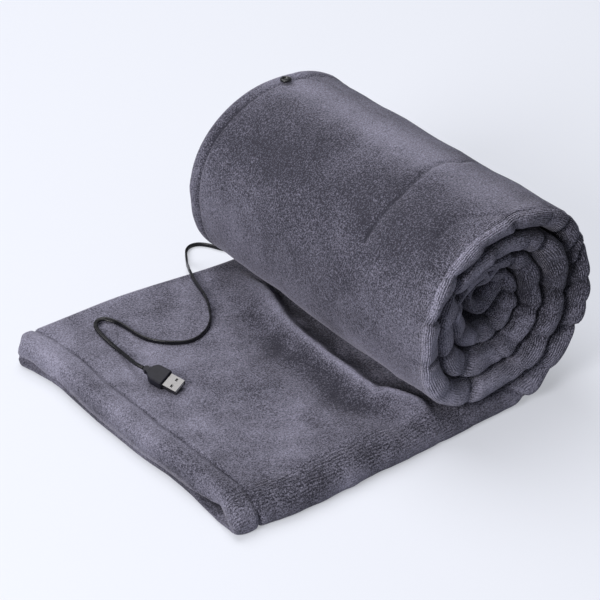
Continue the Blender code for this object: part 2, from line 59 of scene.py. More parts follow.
# The folded and wound cloth, as its solid has it
PLY = 0.0064
PLY_GAP = 0.0008
STACK = 3 * PLY + 2 * PLY_GAP
TURN_GAP = 0.0012
PITCH = STACK + TURN_GAP
ROLL_HEIGHT = 0.162
ROLL_SPREAD = (1.09, 1.065)  # towards the flap and away from it
ROLL_CENTRE = 0.2386
NEAR_SWELL, FAR_SINK = 0.030, 0.026  # how much taller and lower the roll is at its ends, as shares
NEAR_EDGE, FAR_EDGE = -0.1405, 0.136
FLAP_BULGE = 0.0062
DRAWN_IN = 0.012  # how far the flap's far edge comes in before the roll
ONTO_ROLL_START, ONTO_ROLL_REACH = 0.14, 0.08  # where the flap's near side turns into the roll's
OFF_FLAP = 17  # degrees of turn over which the flap's edges give way to the roll's
WHOLLY_FLAT = 0.999
NEAR_BULGE, FAR_BULGE = 0.0045, 0.0035
ROUNDNESS = (2.08, 2.30, 1.95, 3.0)  # by quarter of the roll: 2 is round, and more is squarer
HEM_WAVE = (  # place along v, and how far the hem's edge strays along x there
    (-0.140, -0.0020), (-0.112, 0.0006), (-0.084, 0.0010), (-0.056, 0.0008), (-0.028, -0.0022),
    (0.0, -0.0026), (0.028, -0.0032), (0.056, -0.0024), (0.084, -0.0012), (0.112, -0.0050),
    (0.137, -0.0112),
)
HEM_WAVE_REACH = 0.06
ORIGIN = (0.1592, -0.0037)

# The wound cloth, drawn tighter towards its core: turn angle in degrees and thickness there
TURN_THICKNESS = (
    (0, STACK), (50, STACK), (95, 0.0190), (150, 0.0158), (185, 0.0146), (235, 0.0162), (300, 0.0174),
    (360, 0.0174), (630, 0.0170), (720, 0.0165), (810, 0.0152), (990, 0.0135), (1080, 0.0125),
    (1305, 0.0120),
)
WOUND_GAP = 0.0010
LAST_ANGLE = math.radians(1305)
CORE_BEND = 0.0098
TONGUE = 0.014
NEAR_RECESS, FAR_RECESS = 0.020, 0.008  # how far the core lies back inside the roll's ends
CORE_START, CORE_END = 200, 1400  # turn angles, in degrees, between which it draws back
TOP_RECESS = 0.0015  # how far the outer turn's top leans in
DENT_REACH = 0.026  # how far in from the roll's near end they fade
DENTS = (  # turn angle, width, depth
    (120, 16, 0.0028), (52, 18, 0.0034), (100, 10, 0.0030), (78, 12, 0.0030),
)

# Creases across the near fold: turn angle at the inner lip, at the outer lip, share of the full depth
CREASES = (
    (6, 20, 0.9), (30, 36, 0.4), (57, 62, 1.2), (72, 78, 0.3), (88, 90, 0.7), (100, 107, 1.5),
    (110, 126, 0.9), (130, 140, 1.5), (152, 150, 0.4), (171, 180, 0.7), (196, 200, 0.3),
    (220, 226, 0.5), (252, 253, 0.7), (286, 282, 1.0), (318, 310, 0.3), (340, 334, 1.0),
    (372, 384, 0.5), (404, 412, 0.9), (449, 444, 1.2), (471, 480, 0.3), (497, 508, 1.5),
    (516, 520, 0.3), (552, 549, 0.6), (599, 594, 1.4), (622, 634, 0.3), (657, 652, 1.3),
    (690, 684, 0.9), (724, 732, 0.6), (748, 752, 0.4), (793, 788, 1.1), (812, 820, 0.3),
    (852, 848, 0.6), (875, 882, 1.2), (918, 914, 0.5), (968, 976, 1.3), (992, 994, 0.3),
    (1030, 1026, 1.1), (1072, 1064, 0.6), (1105, 1100, 1.0), (1150, 1140, 0.5), (1178, 1172, 1.2),
    (1226, 1216, 0.8), (1262, 1256, 1.1), (1300, 1298, 0.6),
)
# The same on the flap: way from the hem at the inner lip, lean, share
FLAP_CREASES = (
    (-0.010, 0.0, 0.0), (0.060, 0.004, 0.1), (0.118, 0.006, 0.3), (0.164, 0.016, 0.8),
    (0.196, 0.018, 0.9),
)

# The fold along the near side, and the hem across the flap
FOLD_LIP = 0.0062  # height of its outermost line
FOLD_LOWER = 0.0062  # depth of its rounding below that
FOLD_REACH = (0.024, 0.0135)  # depth of its rounding above that, on the flap and on the roll
HEM_NOSE = 0.0085
HEM_SEAM, FAR_SEAM = 0.0205, 0.0125  # stitched grooves, from the hem's edge and from the far end
NEAR_LIPS, FAR_LIPS = 0.068, 0.044  # how far from the corners the hem's plies stand apart
FAR_OPENING = 0.55
LIP_RISE = 0.0034
CORNER_RADIUS = 0.011
HEM_REACH = 0.06  # way from the hem within which its bands and seams are drawn
HEM_SQUARENESS = 2.6
NOSE_LOW, NOSE_HIGH = 0.0032, 0.0075  # rounding of the lowest ply's lip and of the two above it
FOLD_SQUARENESS = (2.3, 2.2)  # below its outermost line and above it
FOLD_HALVES = (0.012, 0.014)  # half width and half height that its normals are worked from

# Inside the near fold, from its outermost line along v
ENCLOSED_EDGE = 0.018  # the enclosed ply's free edge
INSIDE_START, INSIDE_DEPTH = 0.0150, 0.0070  # where the fold's own inside is rounded, and how deep

# Steps between the cloth's cross-sections
OUTER_STEP, INNER_STEP, FLAP_STEP, RIDGE_STEP = 0.0027, 0.0033, 0.0030, 0.0018
NOSE_STEP, NOSE_END, HEM_STEP, HEM_END = 0.0008, 0.008, 0.0014, 0.026
RIDGE_SPAN = (0.152, 0.192)

# The ridge that the roll pushes up across the flap: place along v, way from the hem
RIDGE = (
    (-0.123, 0.1800), (-0.111, 0.1755), (-0.098, 0.1695), (-0.085, 0.1640), (-0.067, 0.1622),
    (-0.049, 0.1645), (-0.027, 0.1630), (0.0, 0.1640), (0.021, 0.1668), (0.042, 0.1730),
    (0.070, 0.1820),
)

# Slanting wrinkles from that ridge's crest down under the roll: place along v, width, share
WRINKLES = ((0.030, 0.0050, 1.0), (-0.016, 0.0060, 0.8), (-0.052, 0.0050, 0.6))
WRINKLE_SLANT = 1.1
WRINKLE_HEIGHT = 0.0016

# Patches of brushed nap and of painted light and shade: turn angle or way from the hem, place along v,
# widths,
# # lightness
ROLL_NAP_AND_PAINTED_LIGHT = (
    (214, 0.0, 30, 0.40, -0.44), (258, -0.05, 18, 0.06, -0.14), (168, 0.03, 13, 0.18, 0.74),
    (315, -0.10, 20, 0.07, 0.14), (204, -0.055, 14, 0.04, -0.14), (302, -0.085, 9, 0.05, 0.36),
    (298, 0.02, 9, 0.035, 0.24), (300, -0.025, 9, 0.018, -0.16), (276, 0.10, 18, 0.05, 0.22),
    (318, 0.10, 9, 0.03, -0.20),
)
# Painted light and shade over the near fold, by which way each part faces.
PAINTED_TURN_LIGHT = (  # turn angle, lightness over the near fold
    (0, 1.10), (45, 0.45), (90, -0.30), (130, -0.22), (165, 0.22), (190, 0.40), (230, 0.60),
    (270, 0.85), (320, 1.20),
)
FLAP_NAP_AND_PAINTED_LIGHT = (
    (0.010, 0.110, 0.07, 0.06, 0.46), (0.065, 0.040, 0.030, 0.022, 0.24),
    (0.070, -0.045, 0.040, 0.05, 0.32), (0.138, -0.045, 0.016, 0.035, -0.14),
    (0.053, -0.140, 0.06, 0.012, -0.16), (0.100, -0.100, 0.030, 0.020, 0.18),
    (0.150, 0.120, 0.03, 0.020, 0.20), (0.148, -0.126, 0.03, 0.010, 0.26),
    (0.150, -0.112, 0.012, 0.007, 0.30), (0.166, -0.124, 0.010, 0.006, 0.35),
)

# Narrow creases in the roll's outer face: depth, width, then turn angles with places along v
FURROW_SHARES = (0.645, 0.715)  # the part of the outer face's width that gets more columns for them
FURROW_STEP = 0.00148  # way along the cloth for each degree of turn
FURROWS = (
    (
        0.0020, 0.0022, (136, -0.040), (156, -0.0520), (164, -0.0478), (173, -0.0492), (189, -0.0542),
        (203, -0.0577), (221, -0.0580), (232, -0.0570),
    ),
    (
        0.0016, 0.0018, (180, -0.1345), (185, -0.1251), (189, -0.1176), (194, -0.1135), (201, -0.1129),
        (209, -0.1129),
    ),
    (0.0014, 0.0022, (166, 0.1326), (158, 0.1227), (152, 0.1080), (153, 0.0900)),
    (0.0012, 0.0020, (158, 0.0640), (153, 0.0520), (155, 0.0360)),
)

RIB_SPACING = 0.0017  # rows of the backing that show where the pile opens over a fold

# The lead's route, as its solids have it: from the strain relief towards the coil, and on to the plug
CORD = 0.0034
COIL_CENTRE = (0.1028, 0.1858)
COIL_RADIUS = 0.0187
COIL_BASE = 0.0009
COIL_TURNS = 5.75
LEAD_IN = (0, 0.012, 0.0004)  # from the coil's start back to the point that leads into it
LIES_FROM, LIES_OVER = 92, 36  # points before the plug where the strip starts to lie flat, and over how many
LIE = CORD / 2 + 0.0004
ON_FLAP = STACK + 0.0003 + CORD / 2
LEAD_ROUTE = ((0.0804, 0.1581, 0.0032), (0.0804, 0.1640, 0.0023))
ACROSS_FLAP = (
    (-0.0147, 0.1092), (-0.0199, 0.0913), (-0.0238, 0.0823), (-0.0294, 0.0724), (-0.0350, 0.0643),
    (-0.0427, 0.0569), (-0.0494, 0.0529), (-0.0583, 0.0500), (-0.0647, 0.0503), (-0.0740, 0.0552),
    (-0.0808, 0.0613), (-0.0879, 0.0718), (-0.0910, 0.0857), (-0.0925, 0.1010), (-0.0956, 0.1105),
    (-0.1002, 0.1158), (-0.1062, 0.1142), (-0.1099, 0.1082), (-0.1121, 0.0962), (-0.1130, 0.0838),
)
RUN_ROUTE = (
    (0.0800, 0.1630, 0.0062), (0.0702, 0.1608, 0.0044), (0.0612, 0.1600, 0.0023), (0.0545, 0.1625, LIE),
    (0.0500, 0.1685, LIE), (0.0468, 0.1752, LIE), (0.0430, 0.1812, LIE), (0.0388, 0.1850, LIE),
    (0.0327, 0.1862, LIE), (0.0273, 0.1836, LIE), (0.0222, 0.1773, LIE), (0.0170, 0.1690, LIE),
    (0.0112, 0.1600, 0.0056), (0.0047, 0.1494, 0.0118), (-0.0028, 0.1376, 0.0184),
    (-0.0084, 0.1276, 0.0228), (-0.0120, 0.1186, ON_FLAP + 0.0002),
    *((x, y, ON_FLAP) for x, y in ACROSS_FLAP),
    (-0.1135, 0.0750, 0.0232), (-0.1146, 0.0640, 0.0246), (-0.1164, 0.0534, 0.0268),
    (-0.1181, 0.0440, 0.0290), (-0.1186, 0.0375, 0.0305), (-0.1174, 0.0333, 0.0302),
)

# The camera, in the frame whose x starts at the flap's hem
CAMERA_PLACE = (-0.76869, -1.20708, 1.06524)
CAMERA_AIM = (0.18264, 0.0246, 0.036)
PICTURE_SIZE = 600
FOCAL_PIXELS = 2451.8
SENSOR = 36.0
FLOOR_HALF = 3.0


# ---------------- settings


class ThrowCloth(bpy.types.PropertyGroup):
    # The plush's colour runs between these two; the cloth's painted light and shade moves it along that run,
    # as the nap does.
    dark: FloatVectorProperty(
        name="Dark nap", description="Colour of the nap brushed away from the light",
        subtype="COLOR", size=3, min=0, max=1, default=(0.029, 0.0285, 0.040),
    )
    light: FloatVectorProperty(
        name="Light nap", description="Colour of the nap brushed towards the light",
        subtype="COLOR", size=3, min=0, max=1, default=(0.167, 0.163, 0.213),
    )
    crease_depth: FloatProperty(
        name="Crease depth", description="How far the buckles on the inside of each turn go in",
        unit="LENGTH", min=0, max=0.010, default=0.0076,
    )
    lump_height: FloatProperty(
        name="Lump height", description="Height of the soft unevenness of the exposed faces",
        unit="LENGTH", min=0, max=0.004, default=0.0012,
    )


class ThrowLead(bpy.types.PropertyGroup):
    thickness: FloatProperty(
        name="Lead thickness", description="The flat lead's smaller size",
        unit="LENGTH", min=0.001, max=0.0034, default=0.0021,
    )
    colour: FloatVectorProperty(
        name="Lead colour", description="Colour of the lead's jacket",
        subtype="COLOR", size=3, min=0, max=1, default=(0.005, 0.005, 0.007),
    )


class ThrowStudio(bpy.types.PropertyGroup):
    floor: FloatVectorProperty(
        name="Floor colour", description="Colour of the pale floor",
        subtype="COLOR", size=3, min=0, max=1, default=(0.445, 0.462, 0.507),
    )
    glow: FloatProperty(
        name="Floor glow", description="Light of the floor's own, as of a lit sweep, that lifts its shadows",
        min=0, max=1, default=0.41,
    )
    key: FloatProperty(
        name="Key light", description="Power of the soft light from the left",
        subtype="POWER", min=0, max=500, default=56.0,
    )
    top: FloatProperty(
        name="Top light", description="Power of the wide light overhead",
        subtype="POWER", min=0, max=500, default=52.0,
    )
    fill: FloatProperty(
        name="Surrounding light", description="Strength of the light from all round",
        min=0, max=5, default=0.17,
    )


# ---------------- mathematics


def blend(t):
    """0 below t = 0, 1 above t = 1, and the S curve 3t^2 - 2t^3 between."""
    t = np.clip(t, 0.0, 1.0)
    return t * t * (3 - 2 * t)


def bell(x, centre, width):
    """exp(-((x - centre) / width)^2): a smooth bump of height 1."""
    return np.exp(-(((x - centre) / width) ** 2))


def lattice_noise(x, y, cell, seed):
    """Soft noise from -1 to 1: random values on a square lattice, blended by S curves between corners."""
    table = np.random.default_rng(seed).uniform(-1, 1, (256, 256))
    gx, gy = x / cell, y / cell
    ix, iy = np.floor(gx).astype(int), np.floor(gy).astype(int)
    fx, fy = blend(gx - ix), blend(gy - iy)
    a, b = table[ix % 256, iy % 256], table[(ix + 1) % 256, iy % 256]
    c, d = table[ix % 256, (iy + 1) % 256], table[(ix + 1) % 256, (iy + 1) % 256]
    return (a * (1 - fx) + b * fx) * (1 - fy) + (c * (1 - fx) + d * fx) * fy


def rough_noise(x, y, cell, seed, octaves=3):
    """Sum of lattice noises, each at half the cell and half the height of the one before."""
    total = 0.0
    for k in range(octaves):
        total = total + lattice_noise(x + 7.3 * k, y - 3.1 * k, cell / 2**k, seed + k) / 2**k
    return total


def unit(vectors):
    """Each vector over its own length."""
    return vectors / np.linalg.norm(vectors, axis=-1, keepdims=True)


def way_along(points):
    """Length from the first point to each, as the running sum of the straight steps between them."""
    return np.concatenate([[0.0], np.cumsum(np.linalg.norm(np.diff(points, axis=0), axis=1))])


def natural_curve(route, count):
    """Points, evenly spaced, of the natural cubic curve through the route, from its second derivatives."""
    knots = np.array(route, float)
    lengths = way_along(knots)
    gaps, n = np.diff(lengths), len(knots)
    system, right = np.eye(n), np.zeros((n, 3))
    for i in range(1, n - 1):
        system[i, i - 1 : i + 2] = gaps[i - 1], 2 * (gaps[i - 1] + gaps[i]), gaps[i]
        right[i] = 6 * ((knots[i + 1] - knots[i]) / gaps[i] - (knots[i] - knots[i - 1]) / gaps[i - 1])
    bends = np.linalg.solve(system, right)
    at = np.linspace(0.0, lengths[-1], count)
    k = np.clip(np.searchsorted(lengths, at, side="right") - 1, 0, n - 2)
    before, after, gap = (at - lengths[k])[:, None], (lengths[k + 1] - at)[:, None], gaps[k][:, None]
    return (
        (bends[k] * after**3 + bends[k + 1] * before**3) / (6 * gap)
        + (knots[k] / gap - bends[k] * gap / 6) * after
        + (knots[k + 1] / gap - bends[k + 1] * gap / 6) * before
    )


# ---------------- meshes


def grid_faces(rows, columns):
    """Quads of a grid of rows by columns, each row joined to the next and its end to its start."""
    r, c = np.arange(rows - 1)[:, None], np.arange(columns)[None, :]
    n = (c + 1) % columns
    this, following = r * columns, (r + 1) * columns
    return np.stack(np.broadcast_arrays(this + c, this + n, following + n, following + c), -1).reshape(-1, 4)


def cap_triangles(section):
    """Triangles that fill a plane outline, (x, y) pairs, all wound the way the outline is."""
    found = delaunay_2d_cdt([Vector(point) for point in section], [], [list(range(len(section)))], 1, 1e-9)
    source = [made_from[0] for made_from in found[3]]
    triangles = np.array([[source[k] for k in face] for face in found[2]])
    a, b, c = (section[triangles[:, k]] for k in range(3))
    turned = (b[:, 0] - a[:, 0]) * (c[:, 1] - a[:, 1]) - (b[:, 1] - a[:, 1]) * (c[:, 0] - a[:, 0])
    nxt = np.roll(section, -1, axis=0)
    whole = np.sum(section[:, 0] * nxt[:, 1] - section[:, 1] * nxt[:, 0])
    return np.where((turned * whole < 0)[:, None], triangles[:, ::-1], triangles)


def swept_mesh(name, grid, section, uv=None):
    """A closed mesh from a grid of points (rows, columns, 3): closed along its columns, and capped at both
    ends with the triangles that fill its plane section."""
    rows, columns = grid.shape[:2]
    quads, cap = grid_faces(rows, columns), cap_triangles(np.asarray(section, float))
    loops = np.concatenate([quads.ravel(), cap[:, ::-1].ravel(), ((rows - 1) * columns + cap).ravel()])
    sizes = np.concatenate([np.full(len(quads), 4), np.full(2 * len(cap), 3)])
    mesh = bpy.data.meshes.new(name)
    mesh.vertices.add(rows * columns)
    mesh.vertices.foreach_set("co", grid.reshape(-1).astype(np.float32))
    mesh.loops.add(len(loops))
    mesh.loops.foreach_set("vertex_index", loops.astype(np.int32))
    mesh.polygons.add(len(sizes))
    starts = np.concatenate([[0], np.cumsum(sizes)[:-1]])
    mesh.polygons.foreach_set("loop_start", starts.astype(np.int32))
    if uv is not None:
        layer = mesh.uv_layers.new(name="cloth")
        layer.data.foreach_set("uv", uv.reshape(-1, 2)[loops].ravel().astype(np.float32))
    mesh.update(calc_edges=True)
    mesh.validate()
    mesh.shade_smooth()
    return mesh


def add_attribute(mesh, name, values):
    """Stores one number a point, for the materials to read."""
    attribute = mesh.attributes.new(name, "FLOAT", "POINT")
    attribute.data.foreach_set("value", np.asarray(values, np.float32).ravel())


def linked(name, data):
    """A new object with this data, in the scene."""
    obj = bpy.data.objects.new(name, data)
    bpy.context.scene.collection.objects.link(obj)
    return obj


def new_piece(name, mesh, material):
    """Links a finished piece, with its material, slot and body."""
    obj = linked(name, mesh)
    mesh.materials.clear()
    mesh.materials.append(material)
    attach(obj, BODY)
    return obj


# ---------------- materials


class Nodes:
    """Adds and joins the nodes of one tree. A value is a number, a colour, or an output to be linked."""

    def __init__(self, tree):
        self.tree = tree

    def feed(self, node, values):
        for key, value in values.items():
            if hasattr(value, "is_output"):
                self.tree.links.new(value, node.inputs[key])
            else:
                node.inputs[key].default_value = value

    def add(self, kind, values=(), **settings):
        node = self.tree.nodes.new(kind)
        for key, value in settings.items():
            setattr(node, key, value)
        self.feed(node, dict(values))
        return node

    def maths(self, operation, first, *others):
        """The operation on one value, or carried from the left through several."""
        if not others:
            return self.add("ShaderNodeMath", {0: first}, operation=operation).outputs[0]
        for other in others:
            first = self.add("ShaderNodeMath", {0: first, 1: other}, operation=operation).outputs[0]
        return first

    def plus(self, *values):
        return self.maths("ADD", *values)

    def times(self, *values):
        return self.maths("MULTIPLY", *values)

    def noise(self, vector, scale, detail=2.0, roughness=0.5, distortion=0.0):
        values = {"Scale": scale, "Detail": detail, "Roughness": roughness, "Distortion": distortion}
        return self.add("ShaderNodeTexNoise", {"Vector": vector, **values}).outputs["Fac"]

    def spread(self, value, low, high, to_low=0.0, to_high=1.0):
        ends = {"From Min": low, "From Max": high, "To Min": to_low, "To Max": to_high}
        return self.add("ShaderNodeMapRange", {"Value": value, **ends}).outputs["Result"]

    def mix(self, factor, a, b):
        values = {0: factor, 6: a, 7: b}
        return self.add("ShaderNodeMix", values, data_type="RGBA", clamp_factor=False).outputs[2]

    def bump(self, height, strength, distance):
        values = {"Height": height, "Strength": strength, "Distance": distance}
        return self.add("ShaderNodeBump", values).outputs["Normal"]

    def place(self):
        return self.add("ShaderNodeTexCoord").outputs["Object"]

    def attribute(self, name):
        return self.add("ShaderNodeAttribute", attribute_name=name).outputs["Fac"]


def new_material(name):
    """A material with its Principled shader, and a way to add nodes to it."""
    material = bpy.data.materials.new(name)
    material.use_nodes = True
    nodes = Nodes(material.node_tree)
    return material, nodes, material.node_tree.nodes["Principled BSDF"]


def shared_group(name, inputs, outputs, fill):
    """The node group of this name, made on first use: fill joins its nodes and gives its outputs in order."""
    tree = bpy.data.node_groups.get(name)
    if tree is None:
        tree = bpy.data.node_groups.new(name, "ShaderNodeTree")
        for side, sockets in (("INPUT", inputs), ("OUTPUT", outputs)):
            for socket in sockets:
                kind = "NodeSocketVector" if socket == "Vector" else "NodeSocketFloat"
                tree.interface.new_socket(name=socket, in_out=side, socket_type=kind)
        n = Nodes(tree)
        n.add("NodeGroupOutput", zip(outputs, fill(n, n.add("NodeGroupInput").outputs)))
    return tree


def fill_nap(n, inputs):
    """Brushed pile: patches brushed either way, fine clumps and single tufts, as a lightness and a height."""
    vector, patch_scale, grain_scale = (inputs[name] for name in ("Vector", "Patches", "Grain"))
    patches = n.noise(vector, patch_scale, detail=3.0, roughness=0.48, distortion=0.4)
    clumps = n.noise(vector, n.times(patch_scale, 3.2), roughness=0.45)
    grain = n.noise(vector, grain_scale, roughness=0.6)
    tufts = n.noise(vector, n.times(grain_scale, 0.33), roughness=0.6)
    mottle = n.plus(n.spread(patches, 0.36, 0.64, -0.27, 0.27), n.spread(clumps, 0.34, 0.66, -0.17, 0.17))
    lightness = n.plus(0.275, n.times(mottle, inputs["Mottle"]), n.spread(grain, 0.33, 0.67, -0.14, 0.64))
    return lightness, n.plus(n.times(grain, 0.6), n.times(tufts, 0.8))


def fill_skin(n, inputs):
    """Skin of a moulding: its broad flow mottling as a mask, and its fine spark-eroded grain as a height."""
    mottle = n.spread(n.noise(inputs["Vector"], 160.0, detail=3.0, roughness=0.6), 0.3, 0.7)
    return mottle, n.noise(inputs["Vector"], 3500.0)


def plush_material():
    """Plush: the brushed nap, the backing's rows where the pile opens over a fold, fine specks, a painted
    sheen that pales the rim where the pile is seen from the side, and the painted light and shade, with
    patches of nap, that the cloth's own attribute adds."""
    cloth = bpy.context.scene.throw_cloth
    material, n, shader = new_material("plush")
    place, fold, flat, painted_light_shade_and_nap = n.place(), n.attribute("fold"), n.attribute("flat"), n.attribute("painted_light_shade_and_nap")
    tree = shared_group("Nap", ("Vector", "Patches", "Grain", "Mottle"), ("Lightness", "Height"), fill_nap)
    values = {"Vector": place, "Patches": 17.0, "Grain": 700.0, "Mottle": n.spread(flat, 0.0, 1.0, 0.5, 1.0)}
    nap = n.add("ShaderNodeGroup", values, node_tree=tree).outputs

    along = n.add("ShaderNodeUVMap", uv_map="cloth").outputs["UV"]
    across = n.add("ShaderNodeSeparateXYZ", {"Vector": along}).outputs["Y"]
    stray = n.times(n.noise(along, 90.0, roughness=0.6), 9.0)
    ribs = n.maths("SINE", n.plus(n.times(across, math.tau / RIB_SPACING), stray))
    ribs = n.times(ribs, n.spread(n.noise(along, 60.0, roughness=0.6), 0.35, 0.6))

    specks = n.spread(n.noise(place, 1050.0, detail=1.0), 0.36, 0.64, -1.0, 1.0)
    specks = n.times(specks, n.plus(0.44, n.times(fold, 0.36)))
    # Painted sheen: the colour is made paler where the surface is seen from the side.
    rim = n.spread(n.add("ShaderNodeLayerWeight", {"Blend": 0.5}).outputs["Facing"], 0.72, 1.0, 0.0, 0.42)
    # The cloth's attribute adds painted light and shade, with patches of brushed nap, to the colour.
    lightness = n.plus(nap["Lightness"], n.times(fold, n.times(ribs, 0.42)), specks, rim, painted_light_shade_and_nap)
    lightness = n.spread(lightness, 0.0, 2.4, 0.0, 2.4)
    height = n.plus(nap["Height"], n.times(ribs, fold, 0.7))
    n.feed(shader, {
        "Base Color": n.mix(lightness, (*cloth.dark, 1), (*cloth.light, 1)),
        "Normal": n.bump(height, strength=0.85, distance=0.0011),
        "Roughness": 0.95, "Specular IOR Level": 0.15,
        "Sheen Weight": 0.35, "Sheen Roughness": 0.45, "Sheen Tint": (0.62, 0.60, 0.70, 1),
    })
    return material


def moulded_material(name, colour, roughness, grain=0.0, coat=0.0, shine=0.3):
    """Moulded plastic or rubber: a plain colour, faintly mottled, with slight changes of gloss and grain."""
    material, n, shader = new_material(name)
    tree = shared_group("Moulded skin", ("Vector",), ("Mottle", "Grain"), fill_skin)
    skin = n.add("ShaderNodeGroup", {"Vector": n.place()}, node_tree=tree).outputs
    dark = tuple(0.8 * c for c in colour)
    light = tuple(min(1.0, 1.35 * c + 0.002) for c in colour)
    n.feed(shader, {
        "Base Color": n.mix(skin["Mottle"], (*dark, 1), (*light, 1)),
        "Roughness": n.spread(skin["Mottle"], 0.0, 1.0, roughness - 0.05, roughness + 0.08),
        "Coat Weight": coat, "Specular IOR Level": shine,
    })
    if grain:
        n.feed(shader, {"Normal": n.bump(skin["Grain"], strength=grain, distance=0.00008)})
    return material


def metal_material(name, colour, roughness):
    """Plated sheet metal: faint long brushing, gloss changes and tiny scuffs."""
    material, n, shader = new_material(name)
    place = n.place()
    turned = {"Vector": place, "Rotation": (0, 0, math.radians(20)), "Scale": (5200, 320, 900)}
    brushing = n.noise(n.add("ShaderNodeMapping", turned).outputs["Vector"], 1.0)
    scuffs = n.noise(place, 420.0, detail=4.0, roughness=0.7)
    dark = tuple(0.86 * c for c in colour)
    n.feed(shader, {
        "Base Color": n.mix(n.spread(scuffs, 0.35, 0.65), (*dark, 1), (*colour, 1)),
        "Roughness": n.spread(scuffs, 0.3, 0.7, roughness - 0.06, roughness + 0.1),
        "Normal": n.bump(brushing, strength=0.25, distance=0.00003), "Metallic": 1.0,
    })
    return material


# ---------------- cloth


def sagged(angle):
    """Radial factor that squares the round roll's quarters: (|sin a|^k + |cos a|^k)^(-1/k), k by quarter."""
    angle = angle % math.tau
    quarter = (angle // (math.pi / 2)).astype(int) % 4
    k = np.array(ROUNDNESS)[quarter]
    return (np.abs(np.sin(angle)) ** k + np.abs(np.cos(angle)) ** k) ** (-1 / k)


def spiral_start():
    """Angle at which the spiral's middle line runs level, and its distance from the axis. The angle's tangent
    is the pitch for one radian over that distance."""
    outer = (ROLL_HEIGHT + PITCH / 2) / 2 - STACK / 2
    return -math.atan(PITCH / math.tau / outer), outer


def to_world(u, w, flat):
    """Sags the round roll's plane (u, w), whose origin is its axis, into x from the flap's hem and z from the
    floor: both grow by the quarter's factor, and x by the roll's spread too."""
    start, outer = spiral_start()
    rise = STACK / 2 + (outer - PITCH * start / math.tau) * math.cos(start)
    factor = 1 + (sagged(np.arctan2(u, -w)) - 1) * (1 - flat)
    return ROLL_CENTRE + np.where(u < 0, *ROLL_SPREAD) * u * factor, rise + w * factor


def left_of(headings):
    """Each heading in the plane, turned a quarter to the left."""
    return np.stack([-headings[:, 1], headings[:, 0]], 1)


def wound_line():
    """The outer face of the wound cloth in the round roll's plane. Its first turn is the solid's: radius
    falling by one pitch a turn. Each later turn lies on the inner face of the one before: its point is the
    earlier one, moved along the normal by the cloth's thickness there and a small gap."""
    start, outer = spiral_start()
    per_turn = 720
    angle = start + np.arange(int(per_turn * (LAST_ANGLE - start) / math.tau) + 1) * math.tau / per_turn
    thick = np.interp(np.degrees(angle), *np.array(TURN_THICKNESS).T)
    first = angle[: per_turn + 1]
    radius, slope = outer - PITCH * first / math.tau, -PITCH / math.tau
    spokes = np.stack([np.sin(first), -np.cos(first)], 1)
    heading = unit(slope * spokes + radius[:, None] * np.stack([np.cos(first), np.sin(first)], 1))
    points = radius[:, None] * spokes - left_of(heading) * STACK / 2
    while len(points) < len(angle):
        normals = left_of(unit(np.gradient(points, axis=0)))
        k = np.arange(len(points) - 1, min(len(points) + per_turn - 2, len(angle))) - per_turn
        laid = points[k] + normals[k] * (thick[k] + WOUND_GAP)[:, None]
        fading = 1 - blend((angle[k] - angle[k[0]]) / 1.2)
        laid = laid + (points[-1] - laid[0]) * fading[:, None]
        points = np.concatenate([points, laid[1:]])
    return points, left_of(unit(np.gradient(points, axis=0))), angle, thick


def cloth_line():
    """The cloth's outer face from its hem to the core, finely: way s, place u, w, normal nu, nw towards the
    inside of the turns, turn angle, thickness and how flat it lies. The flap is level. After the spiral a
    half circle turns the cloth back on its inner face, and a straight tongue ends it."""
    wound, normal, angle, thick = wound_line()
    start_x = ROLL_CENTRE + ROLL_SPREAD[0] * wound[0, 0]
    flap_x = np.linspace(0.0, start_x, 700)[:-1]
    flap = np.stack([(flap_x - ROLL_CENTRE) / ROLL_SPREAD[0], np.full(len(flap_x), wound[0, 1])], 1)
    heading = np.array([normal[-1, 1], -normal[-1, 0]])
    bend = np.linspace(0, math.pi, 90)[1:]
    spokes = np.outer(np.cos(bend), -normal[-1]) + np.outer(np.sin(bend), heading)
    reach = CORE_BEND + thick[-1] / 2
    fold = wound[-1] + normal[-1] * reach + reach * spokes
    tongue = fold[-1] - np.outer(np.linspace(0, TONGUE, 30)[1:], heading)
    points = np.concatenate([flap, wound, fold, tongue])
    upright, straight = np.tile([0.0, 1.0], (len(flap), 1)), np.tile(-spokes[-1], (len(tongue), 1))
    normals = np.concatenate([upright, normal, -spokes, straight])
    rest = len(fold) + len(tongue)
    angles = np.concatenate([np.full(len(flap), angle[0]), angle, np.full(rest, LAST_ANGLE)])
    thicks = np.concatenate([np.full(len(flap), STACK), thick, np.full(rest, thick[-1])])
    flat = np.concatenate([np.ones(len(flap)), 1 - blend((angle - angle[0]) / 0.25), np.zeros(rest)])
    x, z = to_world(points[:, 0], points[:, 1], flat)
    s = np.concatenate([[0.0], np.cumsum(np.hypot(np.diff(x), np.diff(z)))])
    return {
        "s": s, "u": points[:, 0], "w": points[:, 1], "nu": normals[:, 0], "nw": normals[:, 1],
        "angle": angles, "thick": thicks, "flat": flat, "x": x,
    }


def stations(line):
    """Where the cloth gets its cross-sections, by the way s: close together where it shows."""
    s, x = line["s"], line["x"]
    on_ridge = (x > RIDGE_SPAN[0]) & (x < RIDGE_SPAN[1])
    step = np.where(line["angle"] < math.tau * 1.02, OUTER_STEP, INNER_STEP)
    step = np.where(line["flat"] > 0.99, np.where(on_ridge, RIDGE_STEP, FLAP_STEP), step)
    step = np.where(s < NOSE_END, NOSE_STEP, np.where(s < HEM_END, HEM_STEP, step))
    effort = np.concatenate([[0.0], np.cumsum(np.diff(s) / step[1:])])
    at = np.interp(np.linspace(0, effort[-1], int(round(effort[-1])) + 1), effort, s)
    return {key: np.interp(at, s, value)[:, None] for key, value in line.items()}


